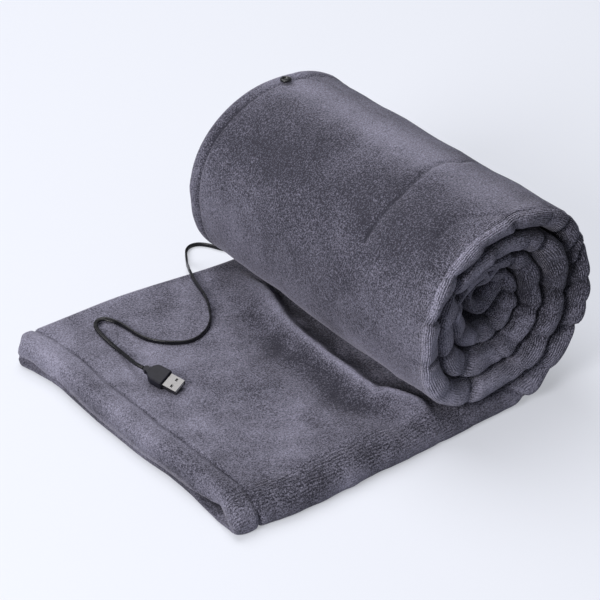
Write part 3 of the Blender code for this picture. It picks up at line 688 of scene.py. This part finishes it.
def spaced(length, count, dense_start=0, dense_end=0, reach=0.026):
    """Shares 0 to 1 of a span, with that many further points inside reach of each end that asks for them."""
    parts = [np.linspace(0, 1, count)]
    if dense_start:
        parts.append(np.linspace(0, reach / length, dense_start + 1)[1:])
    if dense_end:
        parts.append(1 - np.linspace(0, reach / length, dense_end + 1)[1:])
    return np.unique(np.round(np.concatenate(parts), 5))


def outline():
    """The folded cloth's closed outline, one row a point. Share is 0 at the near edge and 1 at the far one,
    across a distance added to that along v, reach the share of the near fold's depth added to it, up the
    height in the stack, then the outward normal and the face: 0 outer, 1 near fold, 2 inner, 3 far fold,
    4 hidden between the plies, 5 the outer ply's far hem."""
    half, far_radius, middle = PLY / 2, PLY + PLY_GAP / 2, STACK / 2
    far_bend = -half - far_radius
    width = FAR_EDGE - NEAR_EDGE
    rows = []

    def run(start, end, across, reach, up, normal, face, shares):
        for t in shares:
            rows.append((start + (end - start) * t, across[0] + (across[1] - across[0]) * t,
                         reach[0] + (reach[1] - reach[0]) * t, up, *normal, face))

    def arc(start, end, count):
        """Cosines and sines inside an arc given in degrees, without those of its ends."""
        return [(math.cos(a), math.sin(a)) for a in np.radians(np.linspace(start, end, count))[1:-1]]

    underside = np.union1d(spaced(width, 22, 14, 9), np.linspace(*FURROW_SHARES, 8))
    run(1, 0, (-half, FOLD_LOWER), (0, 0), 0.0, (0, -1), 0, underside)
    for c, q in arc(270, 90, 31):
        k = FOLD_SQUARENESS[int(q >= 0)]
        f = (abs(c) ** k + abs(q) ** k) ** (-1 / k)
        normal = unit(np.array([c / FOLD_HALVES[0], q / FOLD_HALVES[1]]))
        if q < 0:
            rows.append((0, FOLD_LOWER * (1 + c * f), 0, FOLD_LIP * (1 + q * f), *normal, 1))
        else:
            rows.append((0, 0, 1 + c * f, FOLD_LIP + (STACK - FOLD_LIP) * q * f, *normal, 1))
    run(0, 1, (0, far_bend), (1, 0), STACK, (0, 1), 2, spaced(width, 20, 8, 5))
    for c, q in arc(90, -90, 12):
        rows.append((1, far_bend + far_radius * c, 0, STACK - far_radius + far_radius * q, c, q, 3))
    mouth = spaced(width, 6, 4, 6, reach=0.075)
    run(1, 0, (far_bend, ENCLOSED_EDGE), (0, 0), middle - half, (0, -1), 4, mouth)
    rows.append((0, ENCLOSED_EDGE - half, 0, middle, -1, 0, 4))
    run(0, 1, (ENCLOSED_EDGE, far_bend), (0, 0), middle + half, (0, 1), 4, np.linspace(0, 1, 3))
    rows.append((1, far_bend + PLY_GAP / 2, 0, middle + half + PLY_GAP / 2, -1, 0, 4))
    run(1, 0, (far_bend, INSIDE_START), (0, 0), STACK - PLY, (0, -1), 4, np.linspace(0, 1, 3))
    for c, q in arc(90, 270, 7):
        rows.append((0, INSIDE_START + INSIDE_DEPTH * c, 0, middle + (middle - PLY) * q, -c, -q, 4))
    run(0, 1, (INSIDE_START, -half), (0, 0), PLY, (0, 1), 4, 1 - mouth[::-1])
    for c, q in arc(90, -90, 8):
        rows.append((1, -half + half * c, 0, half + half * q, c, q, 5))
    return np.array(rows).T


def edges_along(st):
    """The cloth's near and far edges at each station, as its solid has them, and drawn in towards the core:
    straight edges with bulges, hem corners and recesses added, each faded by S curves."""
    x = np.where(st["flat"] > WHOLLY_FLAT, st["x"], 1.0)
    turned = np.degrees(st["angle"])
    on_roll = blend((x - ONTO_ROLL_START) / ONTO_ROLL_REACH)
    on_flap = 1 - blend((turned - turned[0]) / OFF_FLAP)
    corner = 1 - blend(x / 0.014)
    core = 1 - blend((turned - CORE_START) / (CORE_END - CORE_START))
    bulge = FLAP_BULGE * blend(x / 0.06) * (1 - on_roll) + NEAR_BULGE * on_roll
    near = NEAR_EDGE - bulge - 0.002 * corner + NEAR_RECESS * (1 - core)
    near = near + TOP_RECESS * bell(turned, 180, 55) * (1 - on_flap)
    drawn_in = (DRAWN_IN * blend((x - 0.07) / 0.13) - 0.002) * on_flap
    far = FAR_EDGE + 0.003 * on_flap * blend(x / 0.02) + FAR_BULGE * (1 - on_flap)
    far = far - 0.006 * corner - drawn_in - FAR_RECESS * (1 - core)
    return near, far


def crease_lines(st):
    """Ways s of the creases on the inner lip, how far each leans by the outer one, and their depths."""
    inner, outer, share = np.array(CREASES).T
    on_roll = st["flat"][:, 0] < WHOLLY_FLAT
    angle, way = np.degrees(st["angle"][on_roll, 0]), st["s"][on_roll, 0]
    at, lean = np.interp(inner, angle, way), np.interp(outer, angle, way) - np.interp(inner, angle, way)
    on_flap = np.array(FLAP_CREASES).T
    return tuple(np.concatenate(pair) for pair in zip(on_flap, (at, lean, share)))


def buckles(n, st, from_near, face):
    """How far the near fold's buckles go in, along v, how they notch its two lips, along n, and how hollow
    they are.

    Between two creases, x and y away from a point, the cloth puffs up by (1 - exp(-x / a))(1 - exp(-y / b)).
    A crease leans: its place along s shifts evenly from the inner lip to the outer one."""
    deepest = bpy.context.scene.throw_cloth.crease_depth
    s, on_roll = st["s"], 1 - st["flat"]
    at, lean, share = crease_lines(st)
    height = np.clip(n / STACK, 0, 1)
    place = s - np.interp(s, at, lean) * (1 - height)
    k = np.clip(np.searchsorted(at, place) - 1, 0, len(at) - 2)
    past, left = np.maximum(place - at[k], 0), np.maximum(at[k + 1] - place, 0)
    t = past / (past + left)
    puff = (1 - np.exp(-past / 0.0016)) * (1 - np.exp(-left / 0.0050))
    depth = (share[k] * (1 - t) + share[k + 1] * t) * (1 - puff)
    wander = lattice_noise(s, 0.02 * height, 0.016, 41)
    reach = np.exp(-((from_near / 0.017) ** 2)) * (face != 4)
    inward = deepest * depth * (0.35 + 0.65 * blend((n - 0.003) / 0.010)) * reach
    inward = inward - 0.0009 * np.sin(math.pi * t) * reach + 0.0022 * wander * reach
    inner_lip = blend((n - 0.009) / 0.009) * np.exp(-(((from_near - 0.012) / 0.014) ** 2))
    outer_lip = (1 - blend((n - 0.002) / 0.008)) * np.exp(-((from_near / 0.013) ** 2))
    wave = 0.0015 * lattice_noise(s, 0.0 * n, 0.026, 57) + 0.0007 * lattice_noise(s, 0.0 * n, 0.012, 58)
    notch = (wave - 0.50 * deepest * depth) * inner_lip + 0.30 * deepest * depth * outer_lip
    return inward * (0.25 + 0.75 * on_roll), notch * on_roll * (face != 4), depth * reach * on_roll


def dents(n, st, from_near):
    """Where the outermost turn is pressed in near the roll's end: a few bells over the turn angle, falling
    away along the axis, moving the outer face and not the inner."""
    turned = np.degrees(st["angle"])
    total = sum(depth * bell(turned, centre, width) for centre, width, depth in DENTS)
    total = total * np.exp(-np.maximum(from_near, 0) / DENT_REACH)
    return total * (1 - np.clip(n / STACK, 0, 1)) * (1 - st["flat"])


def hem_shape(s, n, up, from_near, from_far):
    """The flap's hem: one full rounded nose of all the plies, opened into two lips near both corners.

    Heights shrink towards a line by (1 - (1 - s / r)^k)^(1 / k). Where the lips part, the lowest ply shrinks
    towards its own line and the two above it, as one, towards theirs."""
    def nose(radius):
        short = (1 - np.clip(s / radius, 0, 1)) ** HEM_SQUARENESS
        return np.clip(1 - short, 0.0, 1) ** (1 / HEM_SQUARENESS)

    near_gap = 0.8 * blend((NEAR_LIPS - from_near) / 0.040) * blend((from_near - 0.005) / 0.022)
    far_gap = FAR_OPENING * blend((FAR_LIPS - from_far) / 0.026)
    split = np.clip(near_gap + far_gap, 0, 1)
    low = up < PLY + 1e-6
    lift = LIP_RISE * near_gap * (1 - blend(s / 0.045))
    own = np.where(low, 0.42 * PLY, (STACK + PLY) / 2)
    middle = 0.34 * STACK
    whole = middle + (n - middle) * (0.004 + 0.996 * nose(HEM_NOSE))
    apart = own + (n - own) * np.where(low, 0.10 + 0.90 * nose(NOSE_LOW), 0.03 + 0.97 * nose(NOSE_HIGH))
    apart = apart + np.where(low, 0.0, lift * (1 - 0.6 * blend((n - PLY) / 0.014)))
    return whole * (1 - split) + apart * split, split, near_gap * low, near_gap * ~low


def patched(table, along, v):
    """Sum of the table's patches, each its lightness times a bell along the cloth and a bell along v."""
    return sum(a * bell(along, c, w) * bell(v, cv, wv) for c, cv, w, wv, a in table)


def brushed_nap_and_painted_light(st, v, face):
    """Lightness added where the nap lies over one way, and painted light and shade: patches on the roll's
    outer face by turn angle, and on the flap's top by the way from the hem."""
    turned, flat = np.degrees(st["angle"]), st["flat"]
    outer = (face == 0) * (1 - flat) * (turned < 400)
    on_roll = patched(ROLL_NAP_AND_PAINTED_LIGHT, turned, v) * outer
    return on_roll + patched(FLAP_NAP_AND_PAINTED_LIGHT, st["x"], v) * (face != 0) * (face != 4) * flat


def furrows(st, v):
    """Depth and lightness of the narrow creases in the roll's outer face: bells of the distance to broken
    lines drawn over the turn angle and v, with painted shade in each and a painted highlight on one side of
    it."""
    x = np.degrees(st["angle"]) * FURROW_STEP
    depth = light = 0.0
    for deep, width, *line in FURROWS:
        points = np.array(line) * (FURROW_STEP, 1)
        nearest, side = np.full(np.broadcast(x, v).shape, 1.0), 0.0
        for (ax, ay), (bx, by) in zip(points, points[1:]):
            dx, dy = bx - ax, by - ay
            t = np.clip(((x - ax) * dx + (v - ay) * dy) / (dx * dx + dy * dy), 0, 1)
            ex, ey = x - ax - t * dx, v - ay - t * dy
            away = np.hypot(ex, ey)
            side = np.where(away < nearest, np.sign(dx * ey - dy * ex), side)
            nearest = np.minimum(away, nearest)
        depth = depth + deep * bell(nearest, 0, width)
        signed = nearest * side
        pale, dark = bell(signed, -1.3 * width, width), bell(signed, 0.1 * width, 0.7 * width)
        light = light + deep / 0.002 * (0.22 * pale - 0.45 * dark)
    return depth, light


def painted_turn_light(st, fold):
    """Painted light and shade added over the near fold of the turns: read from a table over the turn angle,
    lightest on the side that looks towards the flap's free end and the floor, darkest on the side away from
    it, and lighter towards the core."""
    angle, light = np.array(PAINTED_TURN_LIGHT).T
    turned = np.degrees(st["angle"])
    inmost = 0.30 * blend((turned - 800) / 200)
    return (np.interp(turned, angle, light, period=360) + inmost) * fold * (1 - st["flat"])


def outer_turn(st):
    """1 over the roll's outermost turn, faded at its start and its end by S curves of the turn angle."""
    angle = st["angle"]
    return blend((angle - 0.15) / 0.5) * (1 - blend((angle - math.tau * 0.97) / 0.2))


def soft_relief(st, v, face, from_near, from_far, pucker):
    """Relief along the outline's normals: lumps of rough noise where a face shows, the hem's band with its
    puckered groove, and on the roll the far end's band and groove and the narrow creases."""
    s, flat = st["s"], st["flat"]
    on_flap = ((face == 2) | (face == 1)) * flat * (1 - blend((st["x"] - 0.17) / 0.03))
    shows = (face == 0) * outer_turn(st) + on_flap
    rim = np.exp(-from_near / 0.012) * (face != 4) * (1 - flat)
    lumps = rough_noise(s, v + 0.4 * face, 0.045, 11) + 0.35 * rough_noise(s, v + 0.4 * face, 0.014, 23)
    relief = bpy.context.scene.throw_cloth.lump_height * lumps * np.clip(shows + 0.6 * rim, 0, 1)
    band = bell(s, 0.011, 0.008) * 0.0014 - bell(s, HEM_SEAM, 0.0014) * 0.0019 * pucker
    relief = relief + band * (face != 4) * (s < HEM_REACH)
    far_band = bell(from_far, 0.006, 0.005) * 0.0010 - bell(from_far, FAR_SEAM, 0.0012) * 0.0020
    return relief + (far_band - furrows(st, v)[0]) * (face == 0) * outer_turn(st)


def flap_swell(st, v, from_near):
    """Height and lightness of the swell that the roll pushes up across the flap, with a hollow before it and
    slanting wrinkles behind: bells of the way from its crest, faded towards both sides of the flap. Its
    lightness is
    painted: a highlight on the crest, shade over the hollow, and a shadow before the roll that the wrinkles
    break."""
    x = st["x"]
    crest = np.interp(v, *np.array(RIDGE).T)
    inside = blend(from_near / 0.03)
    swell = 0.0080 * bell(x, crest, np.where(x > crest, 0.0055, 0.0075)) * blend((0.11 - v) / 0.06) * inside
    swell = swell - 0.0032 * bell(x, crest - 0.026, 0.014) * inside * blend((0.09 - v) / 0.06)
    slant = v + WRINKLE_SLANT * (x - crest)
    wrinkles = sum(share * bell(slant, place, width) for place, width, share in WRINKLES)
    swell = swell + WRINKLE_HEIGHT * wrinkles * bell(x, crest + 0.0070, 0.0060)
    # Painted shadow between the crest and the roll, broken where the wrinkles cross it.
    painted_shadow_under_roll = 1.9 * bell(x, crest + 0.0125, 0.0085) * (1 - 1.15 * wrinkles)
    light = 2.0 * bell(x, crest - 0.001, 0.0030) - painted_shadow_under_roll - 1.3 * bell(x, crest - 0.018, 0.0110)
    return swell, light * blend((0.12 - v) / 0.08) * inside


def turn_shade(st, level, face):
    """Lightness over the near fold of each turn: painted light in its middle and painted shade in the cracks
    towards its lips.
    """
    light = 0.30 - 0.75 * bell(level, 1, 0.22) - 0.75 * bell(level, 0, 0.22) * (st["angle"] > math.tau)
    return light * (face == 1) * (1 - st["flat"])


def hem_shade(s, level, pucker):
    """Lightness over the flap's hem: painted shade in its stitched groove with a painted highlight on its
    rim, and painted light on its edge above and painted shade below."""
    light = 0.18 * bell(s, HEM_SEAM - 0.0045, 0.003) - 0.34 * bell(s, HEM_SEAM, 0.0012) * pucker
    light = light + 0.08 * bell(s, 0.006, 0.005) * bell(level, 1, 0.3)
    return light - 0.30 * bell(level, 0.05, 0.3) * bell(s, 0, 0.02)


def side_shade(st, up, from_near):
    """Lightness along the flap's near side: painted light low down and halfway along, and painted shade at
    its upper edge.
    """
    light = 0.45 * bell(up, 0.003, 0.007) - 0.26 * bell(up, STACK, 0.007) * bell(from_near, 0.012, 0.014)
    return light + 0.50 * bell(up, 0.010, 0.006) * bell(st["x"], 0.115, 0.055)


def placed(st, v, n, setback):
    """Sets each section on the cloth's line, sags it, and gives its points' x, y and z. The hem's edge strays
    along x, and the roll grows taller towards its near end and lower towards its far one."""
    offset, flat = n * st["thick"] / STACK, st["flat"]
    x, z = to_world(st["u"] + st["nu"] * offset, st["w"] + st["nw"] * offset, flat)
    along, stray = np.array(HEM_WAVE).T
    wave = np.interp(v, along, stray) * (1 - blend(x / HEM_WAVE_REACH))
    x = x + (wave + setback) * (st["x"] < 0.1) * (flat > 0.5)
    z = np.maximum(z, 0.0)
    tall = np.interp(v, (NEAR_EDGE, FAR_EDGE), (NEAR_SWELL, -FAR_SINK))
    z = z * (1 + (1 - flat) * tall * z / ROLL_HEIGHT)
    return np.stack([x - ORIGIN[0], v - ORIGIN[1], z], -1)


def cloth_grid():
    """The blanket's surface: the folded outline carried along the cloth's line, with its relief added along
    the outline's normals. Gives the points, the plane section that caps it, its map and its attributes."""
    st = stations(cloth_line())
    share, across, reach, up, out_v, out_n, face = outline()
    near, far = edges_along(st)
    s, flat = st["s"], st["flat"]
    depth = FOLD_REACH[0] * flat + FOLD_REACH[1] * (1 - flat)
    v = near * (1 - share) + far * share + across + reach * depth
    n = np.broadcast_to(up, v.shape).copy()
    from_near, from_far = v - near, far - v
    pucker = 1 + 0.35 * lattice_noise(v, 0.0 * v, 0.009, 71)
    relief = soft_relief(st, v, face, from_near, from_far, pucker)
    v, n = v + relief * out_v, n + relief * out_n

    n, split, lower_lip, upper_lip = hem_shape(s, n, up, from_near, from_far)
    enclosed = np.where(face == 4, 1 - split * (1 - blend((up - PLY - PLY_GAP) / 0.003)), 0.0)
    corner = 1 - np.sqrt(np.clip(1 - (1 - np.clip(from_far / CORNER_RADIUS, 0, 1)) ** 2, 0, 1))
    setback = 0.006 * enclosed + 0.0040 * upper_lip - 0.0008 * lower_lip + CORNER_RADIUS * corner
    setback = setback * (1 - blend(s / 0.03))
    swell, painted_swell_light_and_shade = flap_swell(st, v, from_near)
    n = n + swell * flat * np.clip(n / STACK, 0, 1)
    inward, notch, painted_crease_shade = buckles(n, st, from_near, face)
    n = n + dents(n, st, from_near) + notch
    v = v + inward
    grid = placed(st, v, n, setback)

    around = way_along(grid[len(grid) // 3])
    uv = np.stack([np.broadcast_to(s, v.shape), np.broadcast_to(around, v.shape)], -1)
    section = np.stack([NEAR_EDGE * (1 - share) + FAR_EDGE * share + across + reach * FOLD_REACH[0], up], 1)

    level = n / STACK
    fold = np.clip((face == 1) * 1.0 + np.exp(-from_near / 0.01) * (face != 4), 0, 1) * (1 - 0.55 * flat)
    painted_swell_light_and_shade = painted_swell_light_and_shade * flat * (face != 0)
    # Painted light and shade for the cloth's colour, with patches of brushed nap: the sums below.
    painted_light_shade_and_nap = brushed_nap_and_painted_light(st, v, face) + painted_turn_light(st, fold) + turn_shade(st, level, face)
    # Painted shade in the near fold's creases, the swell's painted light and shadow, and the lying flap
    # painted lighter.
    painted_light_shade_and_nap = painted_light_shade_and_nap - 0.80 * painted_crease_shade + 0.40 * painted_swell_light_and_shade + 0.12 * flat
    # Painted highlight on the upper lip's edge, and painted shade in the gap between the parted plies.
    painted_lip_light_and_gap_shade = 0.34 * upper_lip * bell(s, 0, 0.003) * (face != 4) - 0.8 * (lower_lip + upper_lip) * (face == 4)
    painted_light_shade_and_nap = painted_light_shade_and_nap + hem_shade(s, level, pucker) * (face != 4) * (s < HEM_REACH) + painted_lip_light_and_gap_shade * flat
    painted_light_shade_and_nap = painted_light_shade_and_nap + side_shade(st, up, from_near) * ((face == 1) | (face == 2)) * flat
    # Painted highlight on the roll's far band and painted shade in its stitched groove.
    painted_far_seam_light_and_shade = 0.16 * bell(from_far, 0.005, 0.005) - 0.45 * bell(from_far, FAR_SEAM, 0.0012)
    painted_light_shade_and_nap = painted_light_shade_and_nap + (furrows(st, v)[1] + painted_far_seam_light_and_shade) * (face == 0) * outer_turn(st)
    return grid, section, uv, {"fold": fold, "painted_light_shade_and_nap": painted_light_shade_and_nap, "flat": np.broadcast_to(flat, v.shape)}


class THROW_OT_blanket(bpy.types.Operator):
    """Make the folded and rolled blanket"""

    bl_idname = "throw.blanket"
    bl_label = "Blanket"

    def execute(self, context):
        grid, section, uv, values = cloth_grid()
        mesh = swept_mesh("blanket_cloth", grid, section, uv)
        for name, value in values.items():
            add_attribute(mesh, name, value)
        cloth = new_piece("blanket_cloth", mesh, plush_material())
        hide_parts("blanket")
        return {"FINISHED"}


# ---------------- lead


def coil_path():
    """Six passes round the coil, clockwise from above, at three radii in two layers. Near the end of each
    turn the radius or the layer changes by one width along an S curve."""
    way = np.linspace(0, COIL_TURNS, int(COIL_TURNS * 40))
    radii = COIL_RADIUS + CORD * np.array([1, 0, -1, -1, 0, 1])
    heights = COIL_BASE + CORD * np.array([0.5, 0.5, 0.5, 1.5, 1.5, 1.5])
    k = np.minimum(way.astype(int), 5)
    t = blend((way - k - 0.80) / 0.20)
    nxt = np.minimum(k + 1, 5)
    radius = radii[k] * (1 - t) + radii[nxt] * t
    height = heights[k] * (1 - t) + heights[nxt] * t
    angle = math.pi - math.tau * way
    x, y = COIL_CENTRE[0] + radius * np.cos(angle), COIL_CENTRE[1] + radius * np.sin(angle)
    return np.stack([x, y, height], 1)


def lead_path():
    """The lead from the hem's strain relief through the coil to the plug, as one line of even steps."""
    coil = coil_path()
    first = natural_curve((*LEAD_ROUTE, tuple(coil[0] - LEAD_IN), tuple(coil[0])), 12)[:-1]
    run = natural_curve((tuple(coil[-1]), *RUN_ROUTE), 330)[1:]
    points = np.concatenate([first, coil, run])
    for _ in range(2):
        points[1:-1] = 0.25 * points[:-2] + 0.5 * points[1:-1] + 0.25 * points[2:]
    return points


def swept_profile(points, profile, side):
    """Carries a closed profile, (across, up) pairs, along points. side is the across direction at each point,
    squared up against the heading, and up completes the frame."""
    heading = unit(np.gradient(points, axis=0))
    side = unit(side - heading * np.sum(side * heading, axis=1, keepdims=True))
    up = np.cross(heading, side)
    return points[:, None] + side[:, None] * profile[None, :, 0:1] + up[:, None] * profile[None, :, 1:2]


def twin_profile(width, thickness, count=20):
    """Outline of a flat two-core lead: r(a) of a rounded bar, pinched in the middle by a share of cos(2a)."""
    a, k = np.arange(count) / count * math.tau, 3.0
    r = (np.abs(np.cos(a) * 2 / width) ** k + np.abs(np.sin(a) * 2 / thickness) ** k) ** (-1 / k)
    pinch = 1 - 0.16 * bell(np.abs(np.sin(a)), 1.0, 0.30)
    return np.stack([r * np.cos(a), r * np.sin(a) * pinch], 1)


class THROW_OT_lead(bpy.types.Operator):
    """Make the flat lead, from the hem through its coil to the plug"""

    bl_idname = "throw.lead"
    bl_label = "Lead"

    def execute(self, context):
        settings = context.scene.throw_lead
        points = lead_path()
        lying = blend((np.arange(len(points)) - (len(points) - LIES_FROM)) / LIES_OVER)[:, None]
        level = np.cross(unit(np.gradient(points, axis=0)), (0, 0, 1))
        side = (1 - lying) * np.array([0.0, 0.0, 1.0]) + lying * level
        profile = twin_profile(CORD, settings.thickness)
        mesh = swept_mesh("lead", swept_profile(points, profile, side), profile)
        jacket = moulded_material("lead jacket", tuple(settings.colour), 0.27, grain=0.2, shine=0.34)
        lead = new_piece("lead", mesh, jacket)
        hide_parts("lead_start", "lead_coil", "lead_run")
        return {"FINISHED"}


class THROW_OT_fittings(bpy.types.Operator):
    """Finish the stud, strain reliefs, tie and plug"""

    bl_idname = "throw.fittings"
    bl_label = "Fittings"

    def execute(self, context):
        black = moulded_material("moulded black", (0.011, 0.011, 0.017), 0.33, 0.5, 0.0, 0.16)
        looks = {
            "press_stud": moulded_material("stud black", (0.014, 0.014, 0.016), 0.3, 0.1, 0.3),
            "lead_relief": black, "coil_tie": black, "plug_relief": black, "plug_body": black,
            "plug_shell": metal_material("plated shell", (0.185, 0.182, 0.182), 0.30),
            "plug_tongue": moulded_material("tongue white", (0.75, 0.75, 0.73), 0.45),
        }
        for name, look in looks.items():
            for material_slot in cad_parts[name].material_slots:
                material_slot.material = look
        return {"FINISHED"}


# ---------------- studio


def aim_at(obj, place, aim):
    """Puts a camera or light at a place and turns its view to the point that it is aimed at."""
    obj.location = place
    obj.rotation_euler = (Vector(aim) - Vector(place)).to_track_quat("-Z", "Y").to_euler()


def add_camera():
    """Camera fitted to the photo. Its lens is focal length over the picture's size, times the sensor's."""
    data = bpy.data.cameras.new("camera")
    data.sensor_width = SENSOR
    data.lens = FOCAL_PIXELS / PICTURE_SIZE * SENSOR
    data.clip_start, data.clip_end = 0.05, 20
    bpy.context.scene.camera = linked("camera", data)
    hem = Vector((*ORIGIN, 0.0))
    aim_at(bpy.context.scene.camera, Vector(CAMERA_PLACE) - hem, Vector(CAMERA_AIM) - hem)


def add_area_light(name, place, aim, size, power, colour):
    """Round soft light of this size, power and colour."""
    data = bpy.data.lights.new(name, "AREA")
    data.shape = "DISK"
    data.size, data.energy, data.color = size, power, colour
    aim_at(linked(name, data), place, aim)


class THROW_OT_studio(bpy.types.Operator):
    """Set up the pale floor, soft lights and camera"""

    bl_idname = "throw.studio"
    bl_label = "Studio"

    def execute(self, context):
        settings = context.scene.throw_studio
        corners = [(FLOOR_HALF * x, FLOOR_HALF * y, 0) for x, y in ((-1, -1), (1, -1), (1, 1), (-1, 1))]
        mesh = bpy.data.meshes.new("floor")
        mesh.from_pydata(corners, [], [(0, 1, 2, 3)])
        material, n, shader = new_material("pale floor")
        seen = n.add("ShaderNodeLightPath").outputs["Is Camera Ray"]
        n.feed(shader, {
            "Base Color": (*settings.floor, 1), "Roughness": 0.9,
            "Emission Color": (0.92, 0.94, 1.0, 1), "Emission Strength": n.times(seen, settings.glow),
        })
        mesh.materials.append(material)
        linked("floor", mesh)
        world = bpy.data.worlds.new("studio")
        context.scene.world = world
        world.use_nodes = True
        background = world.node_tree.nodes["Background"]
        background.inputs["Color"].default_value = (0.90, 0.94, 1.0, 1)
        background.inputs["Strength"].default_value = settings.fill
        add_area_light("key", (-2.3, -0.55, 1.35), (0, 0, 0.05), 1.2, settings.key, (1.0, 0.98, 0.98))
        add_area_light("top", (0.0, 1.1, 2.3), (0, 0, 0), 2.6, settings.top, (1.0, 0.99, 1.0))
        context.scene.view_settings.view_transform = "Standard"
        add_camera()
        return {"FINISHED"}


# ---------------- add-on


class THROW_PT_panel(bpy.types.Panel):
    """Lists the throw's pieces and settings"""

    bl_idname = "THROW_PT_panel"
    bl_label = "Rolled heated throw"
    bl_space_type = "VIEW_3D"
    bl_region_type = "UI"
    bl_category = "Throw"

    def draw(self, context):
        for group in ("throw_cloth", "throw_lead", "throw_studio"):
            settings = getattr(context.scene, group)
            box = self.layout.box()
            for name in settings.__annotations__:
                box.prop(settings, name)
        for operator in OPERATORS:
            self.layout.operator(operator.bl_idname)


GROUPS = {"throw_cloth": ThrowCloth, "throw_lead": ThrowLead, "throw_studio": ThrowStudio}
OPERATORS = (THROW_OT_studio, THROW_OT_lead, THROW_OT_fittings, THROW_OT_blanket)


def register():
    for cls in (*GROUPS.values(), *OPERATORS, THROW_PT_panel):
        bpy.utils.register_class(cls)
    for name, cls in GROUPS.items():
        setattr(bpy.types.Scene, name, PointerProperty(type=cls))


def unregister():
    for name in GROUPS:
        delattr(bpy.types.Scene, name)
    for cls in reversed((*GROUPS.values(), *OPERATORS, THROW_PT_panel)):
        bpy.utils.unregister_class(cls)


def main():
    register()
    bpy.ops.throw.studio()
    bpy.ops.throw.lead()
    bpy.ops.throw.fittings()
    bpy.ops.throw.blanket()


if __name__ == "__main__":
    main()
